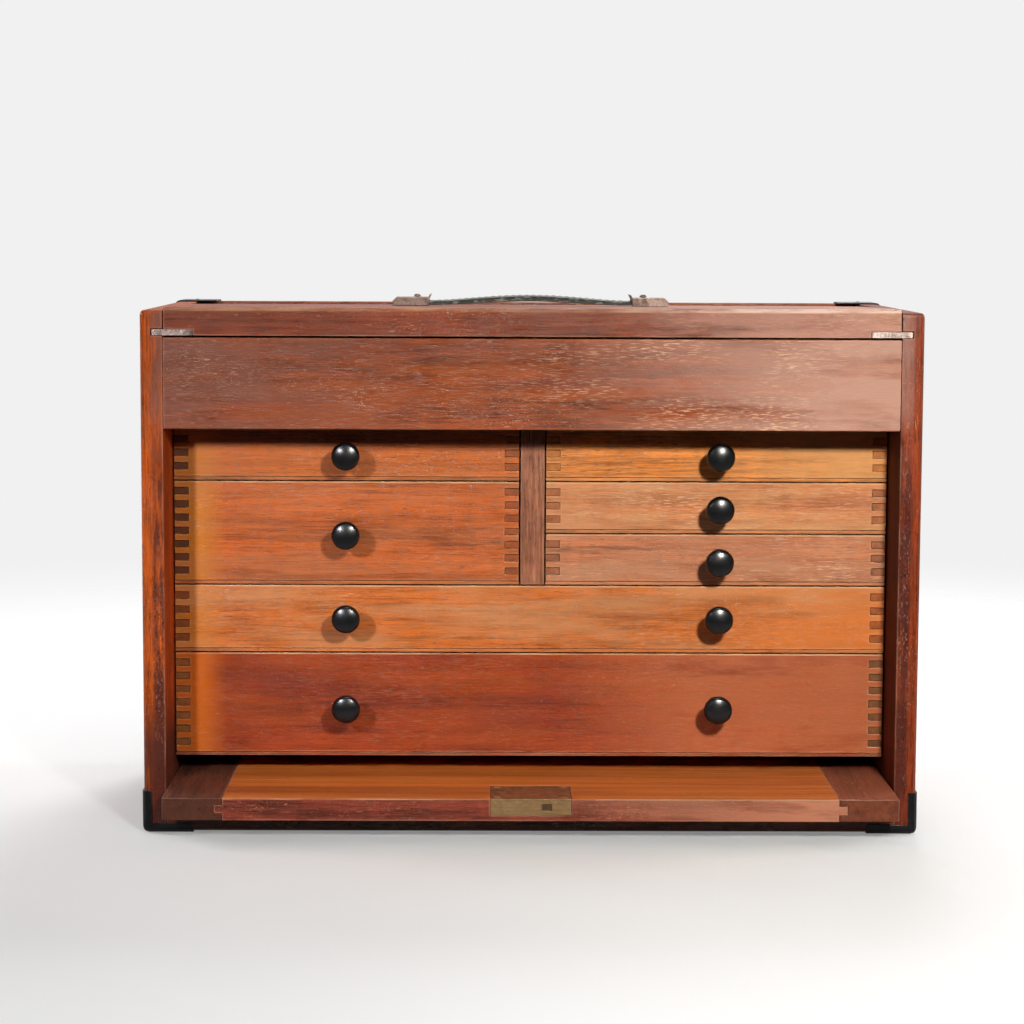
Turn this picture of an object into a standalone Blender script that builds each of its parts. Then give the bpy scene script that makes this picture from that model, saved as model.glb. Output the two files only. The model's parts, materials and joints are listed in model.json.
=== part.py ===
"""Engineer's wooden tool chest: a case with seven finger-jointed drawers, a sliding lid with a
strap handle, and a lockable front panel stored in the slot under the drawers.

Metres, +Z up, front facing -Y. Sizes below are in millimetres and turned into metres once, by mm().
"""
import math

import bmesh
import bpy
from mathutils import Vector

# Case
CASE_WIDTH = 520.0          # over the wooden walls
CASE_DEPTH = 244.0          # wall front edge to back face
WALL_T = 15.0
BACK_T = 11.4
BOTTOM_T = 13.8
FASCIA_H = 60.6
FASCIA_T = 12.0
FLOOR_T = 6.0               # floor of the top compartment
HOUSING = 4.0               # depth of the grooves that hold that floor
POST_T = 16.4
POST_X = 1.3                # the post stands a little right of the middle
ARRIS_R = 3.0               # worn round on the outer edges of the walls

# Lid
LID_T = 19.0
LID_RISE = 2.3              # front edge of the lid above the wall tops
LID_FALL = 4.2              # the top slopes down by this much to the back
LID_ROUND = 2.6
BAR_W = 27.5                # steel runner bar, flat
BAR_T = 3.9
BAR_IN_WALL = 7.2           # how far a bar reaches into its wall groove

# Drawers
RECESS = 52.0               # drawer fronts behind the wall front edges
PITCH_SHALLOW = 35.85       # cell heights, drawer plus gap
PITCH_C = 46.9
PITCH_D = 72.6
FRONT_T = 9.5
SIDE_T = 9.5
SHEET_T = 2.0               # drawer bottom
DRAWER_BACK_AIR = 4.0
RUNNER_W = 3.6              # runner strip, proud of the wall
RUNNER_H = 6.0
FINGER_H = 4.7              # wanted height of a finger; each drawer takes the nearest odd count

# Knobs
KNOB_X = 126.8              # the two columns of knobs, either side of the post
KNOB_DROP = 0.4             # knobs below the middle of their fronts
KNOB_C_RISE = 1.8           # those of drawer c stand above it
KNOB_D = 19.3
KNOB_L = 30.0               # from where their shadows fall
KNOB_DOME = 5.3             # rise of the domed face above the widest part
KNOB_UNDER = 3.4            # curve from the widest part in to the neck
KNOB_STEM_D = 10.5
KNOB_NECK_D = 8.4
KNOB_FOOT = 1.4
SPIGOT_D = 6.0
SPIGOT_L = 7.5

# Front panel and lock
PANEL_T = 14.8
PANEL_BACK_AIR = 9.0        # behind the stored panel
CLEAT_W = 40.0
TONGUE = 5.5
LOCK_W = 53.5
LOCK_PLATE_L = 42.0
LOCK_PLATE_T = 1.4
LOCK_EDGE_H = 10.7
LOCK_BODY_W = 36.0
LOCK_BODY_H = 8.4
LOCK_BODY_L = 34.0
BOLT_W = 6.4
BOLT_H = 4.0
BOLT_L = 14.0
BOLT_X = 10.5               # bolt slot, right of the middle of the lock
SCREW_HEAD_D = 5.0
SCREW_SHANK_D = 2.4
SCREW_L = 8.0
SCREW_EDGE = 4.2            # screw centre from the lock plate's edges

# Corner caps
CAP_T = 0.9
CAP_LEG_X = 33.0
CAP_TOP_LEG_X = 30.0
CAP_LEG_Y = 33.0
CAP_LEG_Z = 27.5
CAP_FLANGE = 5.5            # width of the flange on the front or back face
CAP_ROUND = 4.2

# Handle
STRAP_W = 25.0
STRAP_T = 3.2
STRAP_RISE = 4.0
STRAP_TAIL = 17.0           # part of the strap inside each keeper
STRAP_FLAT = 6.0            # flat stretch in front of each keeper
KEEPER_SPAN = 193.0         # over the keepers' outer ends
KEEPER_L = 25.5
KEEPER_W = 29.0
KEEPER_H = 5.8
KEEPER_T = 1.1
KEEPER_LIP = 2.2
KEEPER_FLARE = 1.6          # lean of the lip over the strap
KEEPER_CHAMFER = 2.6
KEEPER_FROM_END = 17.0      # rivet from the keeper's outer end
HANDLE_X = 0.0              # from the chest's middle
HANDLE_Y = 118.0            # behind the wall front edges
RIVET_D = 5.4
RIVET_SHANK_D = 3.0
RIVET_L = 11.0

# Clearances
FIT = 0.3                   # between pieces that are fixed together
RUN = 0.5                   # between pieces that slide
DRAWER_GAP = 1.0            # above each drawer, and at its sides
PANEL_RUN = 0.8             # around the stored front panel
SLOT_AIR = 12.0             # above the stored panel, under the lowest drawer
TOP_AIR = 3.0               # above the top drawers
LID_GAP = 1.4               # between the fascia and the lid
LID_SIDE_GAP = 0.8
CUT = 1.0                   # how far a cutter runs past the face it opens
BAR_BACK_AIR = 2.0          # between a runner bar and the back board

# Derived heights, from the ground up
Z_WOOD = CAP_T + FIT
Z_BOTTOM = Z_WOOD + BOTTOM_T
Z_PANEL = Z_BOTTOM + PANEL_RUN
Z_PANEL_TOP = Z_PANEL + PANEL_T
Z_CELL_D = Z_PANEL_TOP + SLOT_AIR
Z_CELL_C = Z_CELL_D + PITCH_D
Z_CELL_AB = Z_CELL_C + PITCH_C
Z_FASCIA = Z_CELL_AB + 3 * PITCH_SHALLOW + TOP_AIR
Z_FASCIA_TOP = Z_FASCIA + FASCIA_H
Z_LID = Z_FASCIA_TOP + LID_GAP
Z_LID_TOP = Z_LID + LID_T
Z_WALL_TOP = Z_LID_TOP - LID_RISE

# Derived widths and depths; Y runs from the wall front edges until place() shifts it
HALF_W = CASE_WIDTH / 2
HALF_IN = HALF_W - WALL_T
Y_BACK = CASE_DEPTH - BACK_T
PANEL_L = Z_FASCIA - Z_BOTTOM - 2 * PANEL_RUN
PANEL_OUT = PANEL_L + PANEL_BACK_AIR - Y_BACK
Y_SHIFT = (PANEL_OUT - CASE_DEPTH - CAP_T - FIT) / 2
BAR_X0 = HALF_IN + BAR_IN_WALL - BAR_W
POST_L = POST_X - POST_T / 2
POST_R = POST_X + POST_T / 2

parts = bpy.data.collections.new("tool_chest")
cutters = bpy.data.collections.new("cutters")


def mm(*values):
    """Millimetres to metres."""
    return tuple(v * 0.001 for v in values)


def place(x, y, z):
    """A point in chest millimetres as a world point in metres."""
    return Vector(mm(x, y + Y_SHIFT, z))


def material(name, colour, roughness, metallic=0.0):
    mat = bpy.data.materials.new(name)
    mat.use_nodes = True
    shader = mat.node_tree.nodes["Principled BSDF"]
    shader.inputs["Base Color"].default_value = (*colour, 1.0)
    shader.inputs["Roughness"].default_value = roughness
    shader.inputs["Metallic"].default_value = metallic
    return mat


def add_object(name, mesh_builder, origin, collection):
    """Make a named object whose mesh is built in chest millimetres and whose origin is given so too."""
    bm = bmesh.new()
    mesh_builder(bm)
    anchor = place(*origin)
    for vert in bm.verts:
        vert.co = place(*vert.co) - anchor
    bmesh.ops.recalc_face_normals(bm, faces=bm.faces)
    mesh = bpy.data.meshes.new(name)
    bm.to_mesh(mesh)
    bm.free()
    obj = bpy.data.objects.new(name, mesh)
    obj.location = anchor
    collection.objects.link(obj)
    return obj


def part(name, mesh_builder, mat, origin=(0, 0, 0)):
    obj = add_object(name, mesh_builder, origin, parts)
    obj.data.materials.append(mat)
    return obj


def cutter(name, mesh_builder):
    obj = add_object(name, mesh_builder, (0, 0, 0), cutters)
    obj.hide_render = True
    obj.display_type = "WIRE"
    return obj


def block(bm, x, y, z):
    """A box between pairs of limits."""
    made = bmesh.ops.create_cube(bm, size=1.0)["verts"]
    for v in made:
        v.co = (x[0] + (v.co.x + 0.5) * (x[1] - x[0]), y[0] + (v.co.y + 0.5) * (y[1] - y[0]),
                z[0] + (v.co.z + 0.5) * (z[1] - z[0]))
    return made


def boxes(*limits):
    """A mesh builder for boxes that don't touch each other."""
    def build(bm):
        for x, y, z in limits:
            block(bm, x, y, z)
    return build


def rod(bm, centre, axis, diameter, length, segments=24):
    """A cylinder that starts at centre and runs along axis."""
    direction = Vector(axis)
    turn = Vector((0, 0, 1)).rotation_difference(direction).to_matrix().to_4x4()
    turn.translation = Vector(centre) + direction * (length / 2)
    bmesh.ops.create_cone(bm, cap_ends=True, segments=segments, radius1=diameter / 2,
                          radius2=diameter / 2, depth=length, matrix=turn)


def boolean(obj, other, operation="DIFFERENCE"):
    mod = obj.modifiers.new(operation.lower(), "BOOLEAN")
    mod.operation = operation
    mod.solver = "EXACT"
    mod.object = other


def round_edges(obj, width, segments=3, angle=40.0):
    mod = obj.modifiers.new("round", "BEVEL")
    mod.width, = mm(width)
    mod.segments = segments
    mod.limit_method = "ANGLE"
    mod.angle_limit = math.radians(angle)
    mod.use_clamp_overlap = True


def round_some(obj, width, segments, wanted):
    """Round only the edges whose middle, in chest millimetres, the test wants."""
    weights = obj.data.attributes.new("bevel_weight_edge", "FLOAT", "EDGE")
    for edge in obj.data.edges:
        a, b = (obj.data.vertices[i].co + obj.location for i in edge.vertices)
        middle = (a + b) / 2 / mm(1)[0]
        middle.y -= Y_SHIFT
        along = (b - a).normalized()
        weights.data[edge.index].value = 1.0 if wanted(middle, along) else 0.0
    mod = obj.modifiers.new("round", "BEVEL")
    mod.width, = mm(width)
    mod.segments = segments
    mod.limit_method = "WEIGHT"


def revolve(name, profile, mat, centre, forward, steps):
    """Turn a closed-by-its-axis profile of (radius, distance) points into a solid facing forward."""
    mesh = bpy.data.meshes.new(name)
    verts = [mm(r, 0, d) for r, d in profile]
    mesh.from_pydata(verts, [(i, i + 1) for i in range(len(verts) - 1)], [])
    obj = bpy.data.objects.new(name, mesh)
    parts.objects.link(obj)
    obj.data.materials.append(mat)
    mod = obj.modifiers.new("turn", "SCREW")
    mod.axis = "Z"
    mod.angle = math.tau
    mod.steps = steps
    mod.render_steps = steps
    mod.use_merge_vertices = True
    mod.merge_threshold = 0.00001
    mod.use_smooth_shade = False
    obj.rotation_mode = "QUATERNION"
    obj.rotation_quaternion = Vector((0, 0, 1)).rotation_difference(Vector(forward))
    obj.location = place(*centre)
    return obj


for old in list(bpy.data.objects):
    bpy.data.objects.remove(old, do_unlink=True)
bpy.context.scene.collection.children.link(parts)
bpy.context.scene.collection.children.link(cutters)

CASE_WOOD = material("case_mahogany", (0.22, 0.075, 0.035), 0.35)
DRAWER_WOOD = material("drawer_mahogany", (0.42, 0.16, 0.05), 0.38)
SHEET_WOOD = material("drawer_sheet", (0.30, 0.13, 0.06), 0.5)
CAP_STEEL = material("black_steel", (0.02, 0.02, 0.022), 0.4, 0.7)
BAR_STEEL = material("bare_steel", (0.55, 0.50, 0.46), 0.35, 1.0)
KEEPER_STEEL = material("plated_steel", (0.50, 0.48, 0.46), 0.3, 1.0)
BRASS = material("brass", (0.60, 0.42, 0.18), 0.35, 1.0)
BAKELITE = material("bakelite", (0.012, 0.011, 0.011), 0.22)
LEATHER = material("leather", (0.035, 0.04, 0.03), 0.6)

# Cells: x limits, floor of the cell, cell height, knob places, knobs below the middle
LEFT_CELL = (-HALF_IN, POST_L)
RIGHT_CELL = (POST_R, HALF_IN)
WIDE_CELL = (-HALF_IN, HALF_IN)
BOTH = (POST_X - KNOB_X, POST_X + KNOB_X)
AT_LEFT, AT_RIGHT = BOTH[:1], BOTH[1:]
CELLS = {
    "a1": (LEFT_CELL, Z_CELL_AB + 2 * PITCH_SHALLOW, PITCH_SHALLOW, AT_LEFT, KNOB_DROP),
    "a2": (LEFT_CELL, Z_CELL_AB, 2 * PITCH_SHALLOW, AT_LEFT, KNOB_DROP),
    "b1": (RIGHT_CELL, Z_CELL_AB + 2 * PITCH_SHALLOW, PITCH_SHALLOW, AT_RIGHT, KNOB_DROP),
    "b2": (RIGHT_CELL, Z_CELL_AB + PITCH_SHALLOW, PITCH_SHALLOW, AT_RIGHT, KNOB_DROP),
    "b3": (RIGHT_CELL, Z_CELL_AB, PITCH_SHALLOW, AT_RIGHT, KNOB_DROP),
    "c": (WIDE_CELL, Z_CELL_C, PITCH_C, BOTH, -KNOB_C_RISE),
    "d": (WIDE_CELL, Z_CELL_D, PITCH_D, BOTH, KNOB_DROP),
}
RUNNER_Y = (RECESS + FRONT_T + RUN, Y_BACK - FIT)
DRAWER_END = Y_BACK - DRAWER_BACK_AIR


def runner_z(cell):
    """Height limits of the runner strip of a cell, at the middle of the drawer side."""
    middle = cell[1] + cell[2] / 2
    return (middle - RUNNER_H / 2, middle + RUNNER_H / 2)


def runners(side, names):
    """Runner strips that stand out from a face at x, toward side, and root in it."""
    def build(bm):
        for name in names:
            cell = CELLS[name]
            face = cell[0][1] if side < 0 else cell[0][0]
            x = sorted((face - side * CUT, face + side * RUNNER_W))
            block(bm, x, RUNNER_Y, runner_z(cell))
    return build


def make_wall(name, side, names):
    """A side wall: side is the way its inner face looks, +1 for the left wall."""
    inner, outer = -side * HALF_IN, -side * HALF_W
    x = sorted((inner, outer))
    wall = part(name, boxes((x, (0, CASE_DEPTH), (Z_WOOD, Z_WALL_TOP))), CASE_WOOD)

    def on_outer_arris(middle, along):
        return abs(middle.x - outer) < 0.01 or abs(along.x) > 0.9
    round_some(wall, ARRIS_R, 3, on_outer_arris)
    boolean(wall, cutter(name + "_runner_stock", runners(side, names)), "UNION")
    groove_x = sorted((inner + side * CUT, inner - side * (BAR_IN_WALL + RUN)))
    housing_x = sorted((inner + side * CUT, inner - side * HOUSING))
    boolean(wall, cutter(name + "_grooves", boxes(
        (groove_x, (-CUT, Y_BACK), (Z_LID - FIT, Z_LID + BAR_T + RUN)),
        (housing_x, (FASCIA_T / 2, Y_BACK), (Z_FASCIA, Z_FASCIA + FLOOR_T)))))
    return wall


def make_case():
    make_wall("left_wall", 1, ("a1", "a2", "c", "d"))
    make_wall("right_wall", -1, ("b1", "b2", "b3", "c", "d"))
    inside = (-HALF_IN + FIT, HALF_IN - FIT)
    back = part("back_board", boxes((inside, (Y_BACK, CASE_DEPTH), (Z_WOOD, Z_WALL_TOP))), CASE_WOOD)
    round_some(back, ARRIS_R, 3, lambda m, a: m.y > CASE_DEPTH - 0.01 and abs(a.x) > 0.9)
    bottom = part("bottom_board", boxes((inside, (0, Y_BACK - FIT), (Z_WOOD, Z_BOTTOM))), CASE_WOOD)
    round_some(bottom, ARRIS_R, 3, lambda m, a: m.y < 0.01 and m.z < Z_WOOD + 0.01)

    fascia = part("fascia", boxes((inside, (0, FASCIA_T), (Z_FASCIA, Z_FASCIA_TOP))), CASE_WOOD)
    round_some(fascia, 1.0, 2, lambda m, a: m.y < 0.01 and abs(a.x) > 0.9)
    floor_x = HALF_IN + HOUSING - FIT
    part("tray_floor", boxes(((-floor_x, floor_x), (FASCIA_T + FIT, Y_BACK - FIT),
                              (Z_FASCIA + FIT, Z_FASCIA + FLOOR_T - FIT))), CASE_WOOD)

    post = part("centre_post", boxes(((POST_L, POST_R), (RECESS, Y_BACK - FIT),
                                      (Z_CELL_AB + FIT, Z_FASCIA))), CASE_WOOD)
    boolean(post, cutter("post_left_runners", runners(-1, ("a1", "a2"))), "UNION")
    boolean(post, cutter("post_right_runners", runners(1, ("b1", "b2", "b3"))), "UNION")


def corner_cap(name, side, y_face, inward, z_face, upward, leg_x):
    """A three-faced pressed cap on a corner of the case; its back or front flange is an L.

    side is -1 at the left; inward is the way into the case along Y; upward along Z.
    """
    out = CAP_T + FIT
    x_face = side * HALF_W
    shell = part(name, boxes((
        sorted((x_face + side * out, x_face - side * leg_x)),
        sorted((y_face - inward * out, y_face + inward * CAP_LEG_Y)),
        sorted((z_face - upward * out, z_face + upward * CAP_LEG_Z)))), CAP_STEEL)

    def near_corner(middle, along):
        on_x = abs(middle.x - (x_face + side * out)) < 0.01
        on_y = abs(middle.y - (y_face - inward * out)) < 0.01
        on_z = abs(middle.z - (z_face - upward * out)) < 0.01
        return on_x + on_y + on_z >= 2
    round_some(shell, CAP_ROUND, 3, near_corner)
    hollow = cutter(name + "_hollow", boxes((
        sorted((x_face + side * FIT, x_face - side * (leg_x + CUT))),
        sorted((y_face - inward * FIT, y_face + inward * (CAP_LEG_Y + CUT))),
        sorted((z_face - upward * FIT, z_face + upward * (CAP_LEG_Z + CUT))))))

    def inner_edges(middle, along):
        on_x = abs(middle.x - (x_face + side * FIT)) < 0.01
        on_y = abs(middle.y - (y_face - inward * FIT)) < 0.01
        on_z = abs(middle.z - (z_face - upward * FIT)) < 0.01
        return on_x + on_y + on_z >= 2
    round_some(hollow, CAP_ROUND - CAP_T, 3, inner_edges)
    boolean(shell, hollow)
    boolean(shell, cutter(name + "_window", boxes((
        sorted((x_face - side * CAP_FLANGE, x_face - side * (leg_x + CUT))),
        sorted((y_face - inward * (out + CUT), y_face + inward * (CAP_T + FIT))),
        sorted((z_face + upward * CAP_FLANGE, z_face + upward * (CAP_LEG_Z + CUT)))))))


def make_caps():
    for side, word in ((-1, "left"), (1, "right")):
        corner_cap(f"cap_front_{word}", side, 0, 1, Z_WOOD, 1, CAP_LEG_X)
        corner_cap(f"cap_back_{word}", side, CASE_DEPTH, -1, Z_WOOD, 1, CAP_LEG_X)
        corner_cap(f"cap_top_{word}", side, CASE_DEPTH, -1, Z_WALL_TOP, -1, CAP_TOP_LEG_X)


def lid_top(y):
    """Height of the lid's sloping top."""
    return Z_LID_TOP - LID_FALL * y / Y_BACK


LID_ORIGIN = (0, 0, Z_LID)
KEEPER_ENDS = ((-1, "left"), (1, "right"))


def keeper_x(side, inset):
    """X of a point a given way in from a keeper's outer end."""
    return HANDLE_X + side * (KEEPER_SPAN / 2 - inset)


def lid_seat():
    """Height on which the handle's pieces rest."""
    return lid_top(HANDLE_Y - KEEPER_W / 2) + FIT


def make_lid():
    lid_x = HALF_IN - LID_SIDE_GAP

    def board(bm):
        for v in block(bm, (-lid_x, lid_x), (0, Y_BACK - RUN), (Z_LID, Z_LID_TOP)):
            if v.co.z > Z_LID + 0.5 * LID_T:
                v.co.z = lid_top(v.co.y)
    lid = part("lid_board", board, CASE_WOOD, LID_ORIGIN)
    round_some(lid, LID_ROUND, 3, lambda m, a: m.z > Z_LID + 0.5 * LID_T and m.y < 1.0 and abs(a.x) > 0.9)
    rebates = [(sorted((s * (BAR_X0 - FIT), s * (lid_x + CUT))), (-CUT, Y_BACK),
                (Z_LID - CUT, Z_LID + BAR_T + FIT)) for s in (-1, 1)]
    boolean(lid, cutter("lid_rebates", boxes(*rebates)))

    def rivet_holes(bm):
        for side, _ in KEEPER_ENDS:
            rod(bm, (keeper_x(side, KEEPER_FROM_END), HANDLE_Y, lid_seat() + KEEPER_H + CUT), (0, 0, -1),
                RIVET_SHANK_D + 2 * FIT, RIVET_L + 2 * CUT)
    holes = cutter("rivet_holes", rivet_holes)
    boolean(lid, holes)

    for side, word in KEEPER_ENDS:
        x = sorted((side * BAR_X0, side * (BAR_X0 + BAR_W)))
        part(f"lid_bar_{word}", boxes((x, (FIT, Y_BACK - BAR_BACK_AIR), (Z_LID, Z_LID + BAR_T))),
             BAR_STEEL, LID_ORIGIN)
    make_handle(holes)


def make_handle(holes):
    seat = lid_seat()
    strap_z = seat + STRAP_T / 2 + FIT
    reach = KEEPER_SPAN / 2 - KEEPER_L + STRAP_TAIL
    flat = STRAP_TAIL + STRAP_FLAT
    steps = 40

    def centre_line(x):
        """A low arch between two flat tails."""
        run = reach - flat
        if abs(x) > run:
            return strap_z
        return strap_z + STRAP_RISE * (0.5 + 0.5 * math.cos(math.pi * x / run)) ** 0.7

    def strap(bm):
        xs = [-reach + 2 * reach * i / steps for i in range(steps + 1)]
        rows = [[bm.verts.new((HANDLE_X + x, HANDLE_Y + s * STRAP_W / 2, centre_line(x))) for s in (-1, 1)]
                for x in xs]
        for a, b in zip(rows, rows[1:]):
            bm.faces.new((a[0], b[0], b[1], a[1]))
    band = part("handle_strap", strap, LEATHER, LID_ORIGIN)
    mod = band.modifiers.new("thickness", "SOLIDIFY")
    mod.thickness, = mm(STRAP_T)
    mod.offset = 0.0
    boolean(band, holes)

    tunnel_h = STRAP_T + 3 * FIT
    for side, word in KEEPER_ENDS:
        def shell(bm, side=side):
            x = sorted((keeper_x(side, 0), keeper_x(side, KEEPER_L)))
            block(bm, x, (HANDLE_Y - KEEPER_W / 2, HANDLE_Y + KEEPER_W / 2), (seat, seat + KEEPER_H))

        def outer_top(middle, along, side=side):
            return abs(middle.x - keeper_x(side, 0)) < 0.01 and abs(middle.z - seat - KEEPER_H) < 0.01

        def lip(bm, side=side):
            x = sorted((keeper_x(side, KEEPER_L - KEEPER_T), keeper_x(side, KEEPER_L)))
            foot, top = seat + tunnel_h + RUN, seat + KEEPER_H + KEEPER_LIP
            for v in block(bm, x, (HANDLE_Y - STRAP_W / 2, HANDLE_Y + STRAP_W / 2), (foot, top)):
                if v.co.z > (foot + top) / 2:
                    v.co.x -= side * KEEPER_FLARE
        keeper = part(f"keeper_{word}", shell, KEEPER_STEEL, LID_ORIGIN)
        round_some(keeper, KEEPER_CHAMFER, 1, outer_top)
        boolean(keeper, cutter(f"keeper_lip_{word}", lip), "UNION")
        tunnel_x = sorted((keeper_x(side, KEEPER_L - STRAP_TAIL - 1.5), keeper_x(side, KEEPER_L + CUT)))
        boolean(keeper, cutter(f"keeper_tunnel_{word}", boxes((
            tunnel_x, (HANDLE_Y - STRAP_W / 2 - RUN, HANDLE_Y + STRAP_W / 2 + RUN),
            (seat - CUT, seat + tunnel_h)))))
        boolean(keeper, holes)
        dome = [(0.0, 2.0), (1.6, 1.7), (2.45, 0.8), (RIVET_D / 2, 0.0), (RIVET_SHANK_D / 2, 0.0),
                (RIVET_SHANK_D / 2, -RIVET_L), (0.0, -RIVET_L)]
        revolve(f"rivet_{word}", dome, KEEPER_STEEL,
                (keeper_x(side, KEEPER_FROM_END), HANDLE_Y, seat + KEEPER_H + FIT), (0, 0, 1), 20)


def make_knob(name, x, z):
    """A mushroom knob turned about its own axis, with a spigot glued into the drawer front."""
    head_r, stem_r, neck_r = KNOB_D / 2, KNOB_STEM_D / 2, KNOB_NECK_D / 2
    wide = KNOB_L - KNOB_DOME
    turns = [math.pi / 2 * k / 8 for k in range(8, -1, -1)]
    dome = [(head_r * math.cos(a), wide + KNOB_DOME * math.sin(a)) for a in turns]
    dome[0] = (0.0, KNOB_L)
    under = [(neck_r + (head_r - neck_r) * math.cos(a), wide - KNOB_UNDER * math.sin(a))
             for a in reversed(turns[:-1:2])]
    foot = [(stem_r, KNOB_FOOT), (stem_r, 0.0)]
    spigot = [(SPIGOT_D / 2, 0.0), (SPIGOT_D / 2, -SPIGOT_L), (0.0, -SPIGOT_L)]
    revolve(name, dome + under + foot + spigot, BAKELITE, (x, RECESS - FIT, z), (0, -1, 0), 28)


def make_drawer(name):
    (x0, x1), z_cell, pitch, knobs, drop = CELLS[name]
    x0, x1 = x0 + DRAWER_GAP, x1 - DRAWER_GAP
    sheet_z = z_cell + DRAWER_GAP / 2
    z0, z1 = sheet_z + SHEET_T + FIT, z_cell + pitch - DRAWER_GAP / 2
    y0, y1 = RECESS, DRAWER_END
    origin = ((x0 + x1) / 2, RECESS, (z0 + z1) / 2)
    knob_z = (z0 + z1) / 2 - drop
    count = 2 * round(((z1 - z0) / FINGER_H - 1) / 2) + 1
    finger = (z1 - z0) / count
    slack = FIT / 2

    front = part(f"drawer_{name}_front", boxes(((x0, x1), (y0, y0 + FRONT_T), (z0, z1))), DRAWER_WOOD, origin)
    sockets, gaps = [], []
    for i in range(count):
        low, high = z0 + i * finger, z0 + (i + 1) * finger
        low_end = low - (CUT if i == 0 else slack)
        high_end = high + (CUT if i == count - 1 else slack)
        for side in (-1, 1):
            edge = x0 if side < 0 else x1
            if i % 2:
                sockets.append((sorted((edge + side * CUT, edge - side * (SIDE_T + slack))),
                                (y0 - CUT, y0 + FRONT_T + CUT), (low - slack, high + slack)))
            else:
                gaps.append((sorted((edge + side * CUT, edge - side * (SIDE_T + CUT))),
                             (y0 - CUT, y0 + FRONT_T + FIT), (low_end, high_end)))
    boolean(front, cutter(f"drawer_{name}_sockets", boxes(*sockets)))

    def knob_holes(bm):
        for x in knobs:
            rod(bm, (x, y0 - CUT, knob_z), (0, 1, 0), SPIGOT_D + 2 * FIT, FRONT_T + 2 * CUT)
    boolean(front, cutter(f"drawer_{name}_knob_holes", knob_holes))

    frame = part(f"drawer_{name}_box", boxes(((x0, x1), (y0, y1), (z0, z1))), DRAWER_WOOD, origin)
    boolean(frame, cutter(f"drawer_{name}_inside", boxes((
        (x0 + SIDE_T, x1 - SIDE_T), (y0 - CUT, y1 - SIDE_T), (z0 - CUT, z1 + CUT)))))
    boolean(frame, cutter(f"drawer_{name}_gaps", boxes(*gaps)))
    low, high = runner_z(CELLS[name])
    depth = RUNNER_W - DRAWER_GAP + RUN
    grooves = [(sorted((edge + side * CUT, edge - side * depth)), (RUNNER_Y[0] - RUN, y1 + CUT),
                (low - RUN, high + FIT)) for side, edge in ((-1, x0), (1, x1))]
    boolean(frame, cutter(f"drawer_{name}_grooves", boxes(*grooves)))

    part(f"drawer_{name}_bottom", boxes(((x0, x1), (y0 + FIT, y1), (sheet_z, sheet_z + SHEET_T))),
         SHEET_WOOD, origin)
    for i, x in enumerate(knobs):
        tail = f"_{'lr'[i]}" if len(knobs) > 1 else ""
        make_knob(f"knob_{name}{tail}", x, knob_z)


def make_panel():
    """The front panel lies in its slot with its lock edge out at the front and its inner face up."""
    half = HALF_IN - PANEL_RUN
    y0, y1 = -PANEL_OUT, PANEL_L - PANEL_OUT
    z0, z1 = Z_PANEL, Z_PANEL_TOP
    origin = (0, y0, (z0 + z1) / 2)
    joint_x = half - CLEAT_W
    middle_z = (z0 + z1) / 2
    tongue_z = (middle_z - TONGUE / 2, middle_z + TONGUE / 2)

    board = part("panel_board", boxes(((-joint_x - TONGUE, joint_x + TONGUE), (y0, y1), (z0, z1))),
                 CASE_WOOD, origin)
    shoulders = [(sorted((s * joint_x, s * (joint_x + TONGUE + CUT))), (y0 - CUT, y1 + CUT), z)
                 for s in (-1, 1) for z in ((z0 - CUT, tongue_z[0]), (tongue_z[1], z1 + CUT))]
    boolean(board, cutter("panel_shoulders", boxes(*shoulders)))
    for side, word in KEEPER_ENDS:
        cleat = part(f"panel_cleat_{word}", boxes((sorted((side * (joint_x + FIT), side * half)),
                                                   (y0, y1), (z0, z1))), CASE_WOOD, origin)
        round_some(cleat, 1.6, 2, lambda m, a, s=side: abs(m.x - s * half) < 0.01 and abs(a.z) > 0.9)
        boolean(cleat, cutter(f"panel_groove_{word}", boxes((
            sorted((side * (joint_x - CUT), side * (joint_x + TONGUE + FIT))), (y0 - CUT, y1 + CUT),
            (tongue_z[0] - FIT, tongue_z[1] + FIT)))))
    make_lock(board, origin, y0, z1)


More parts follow.
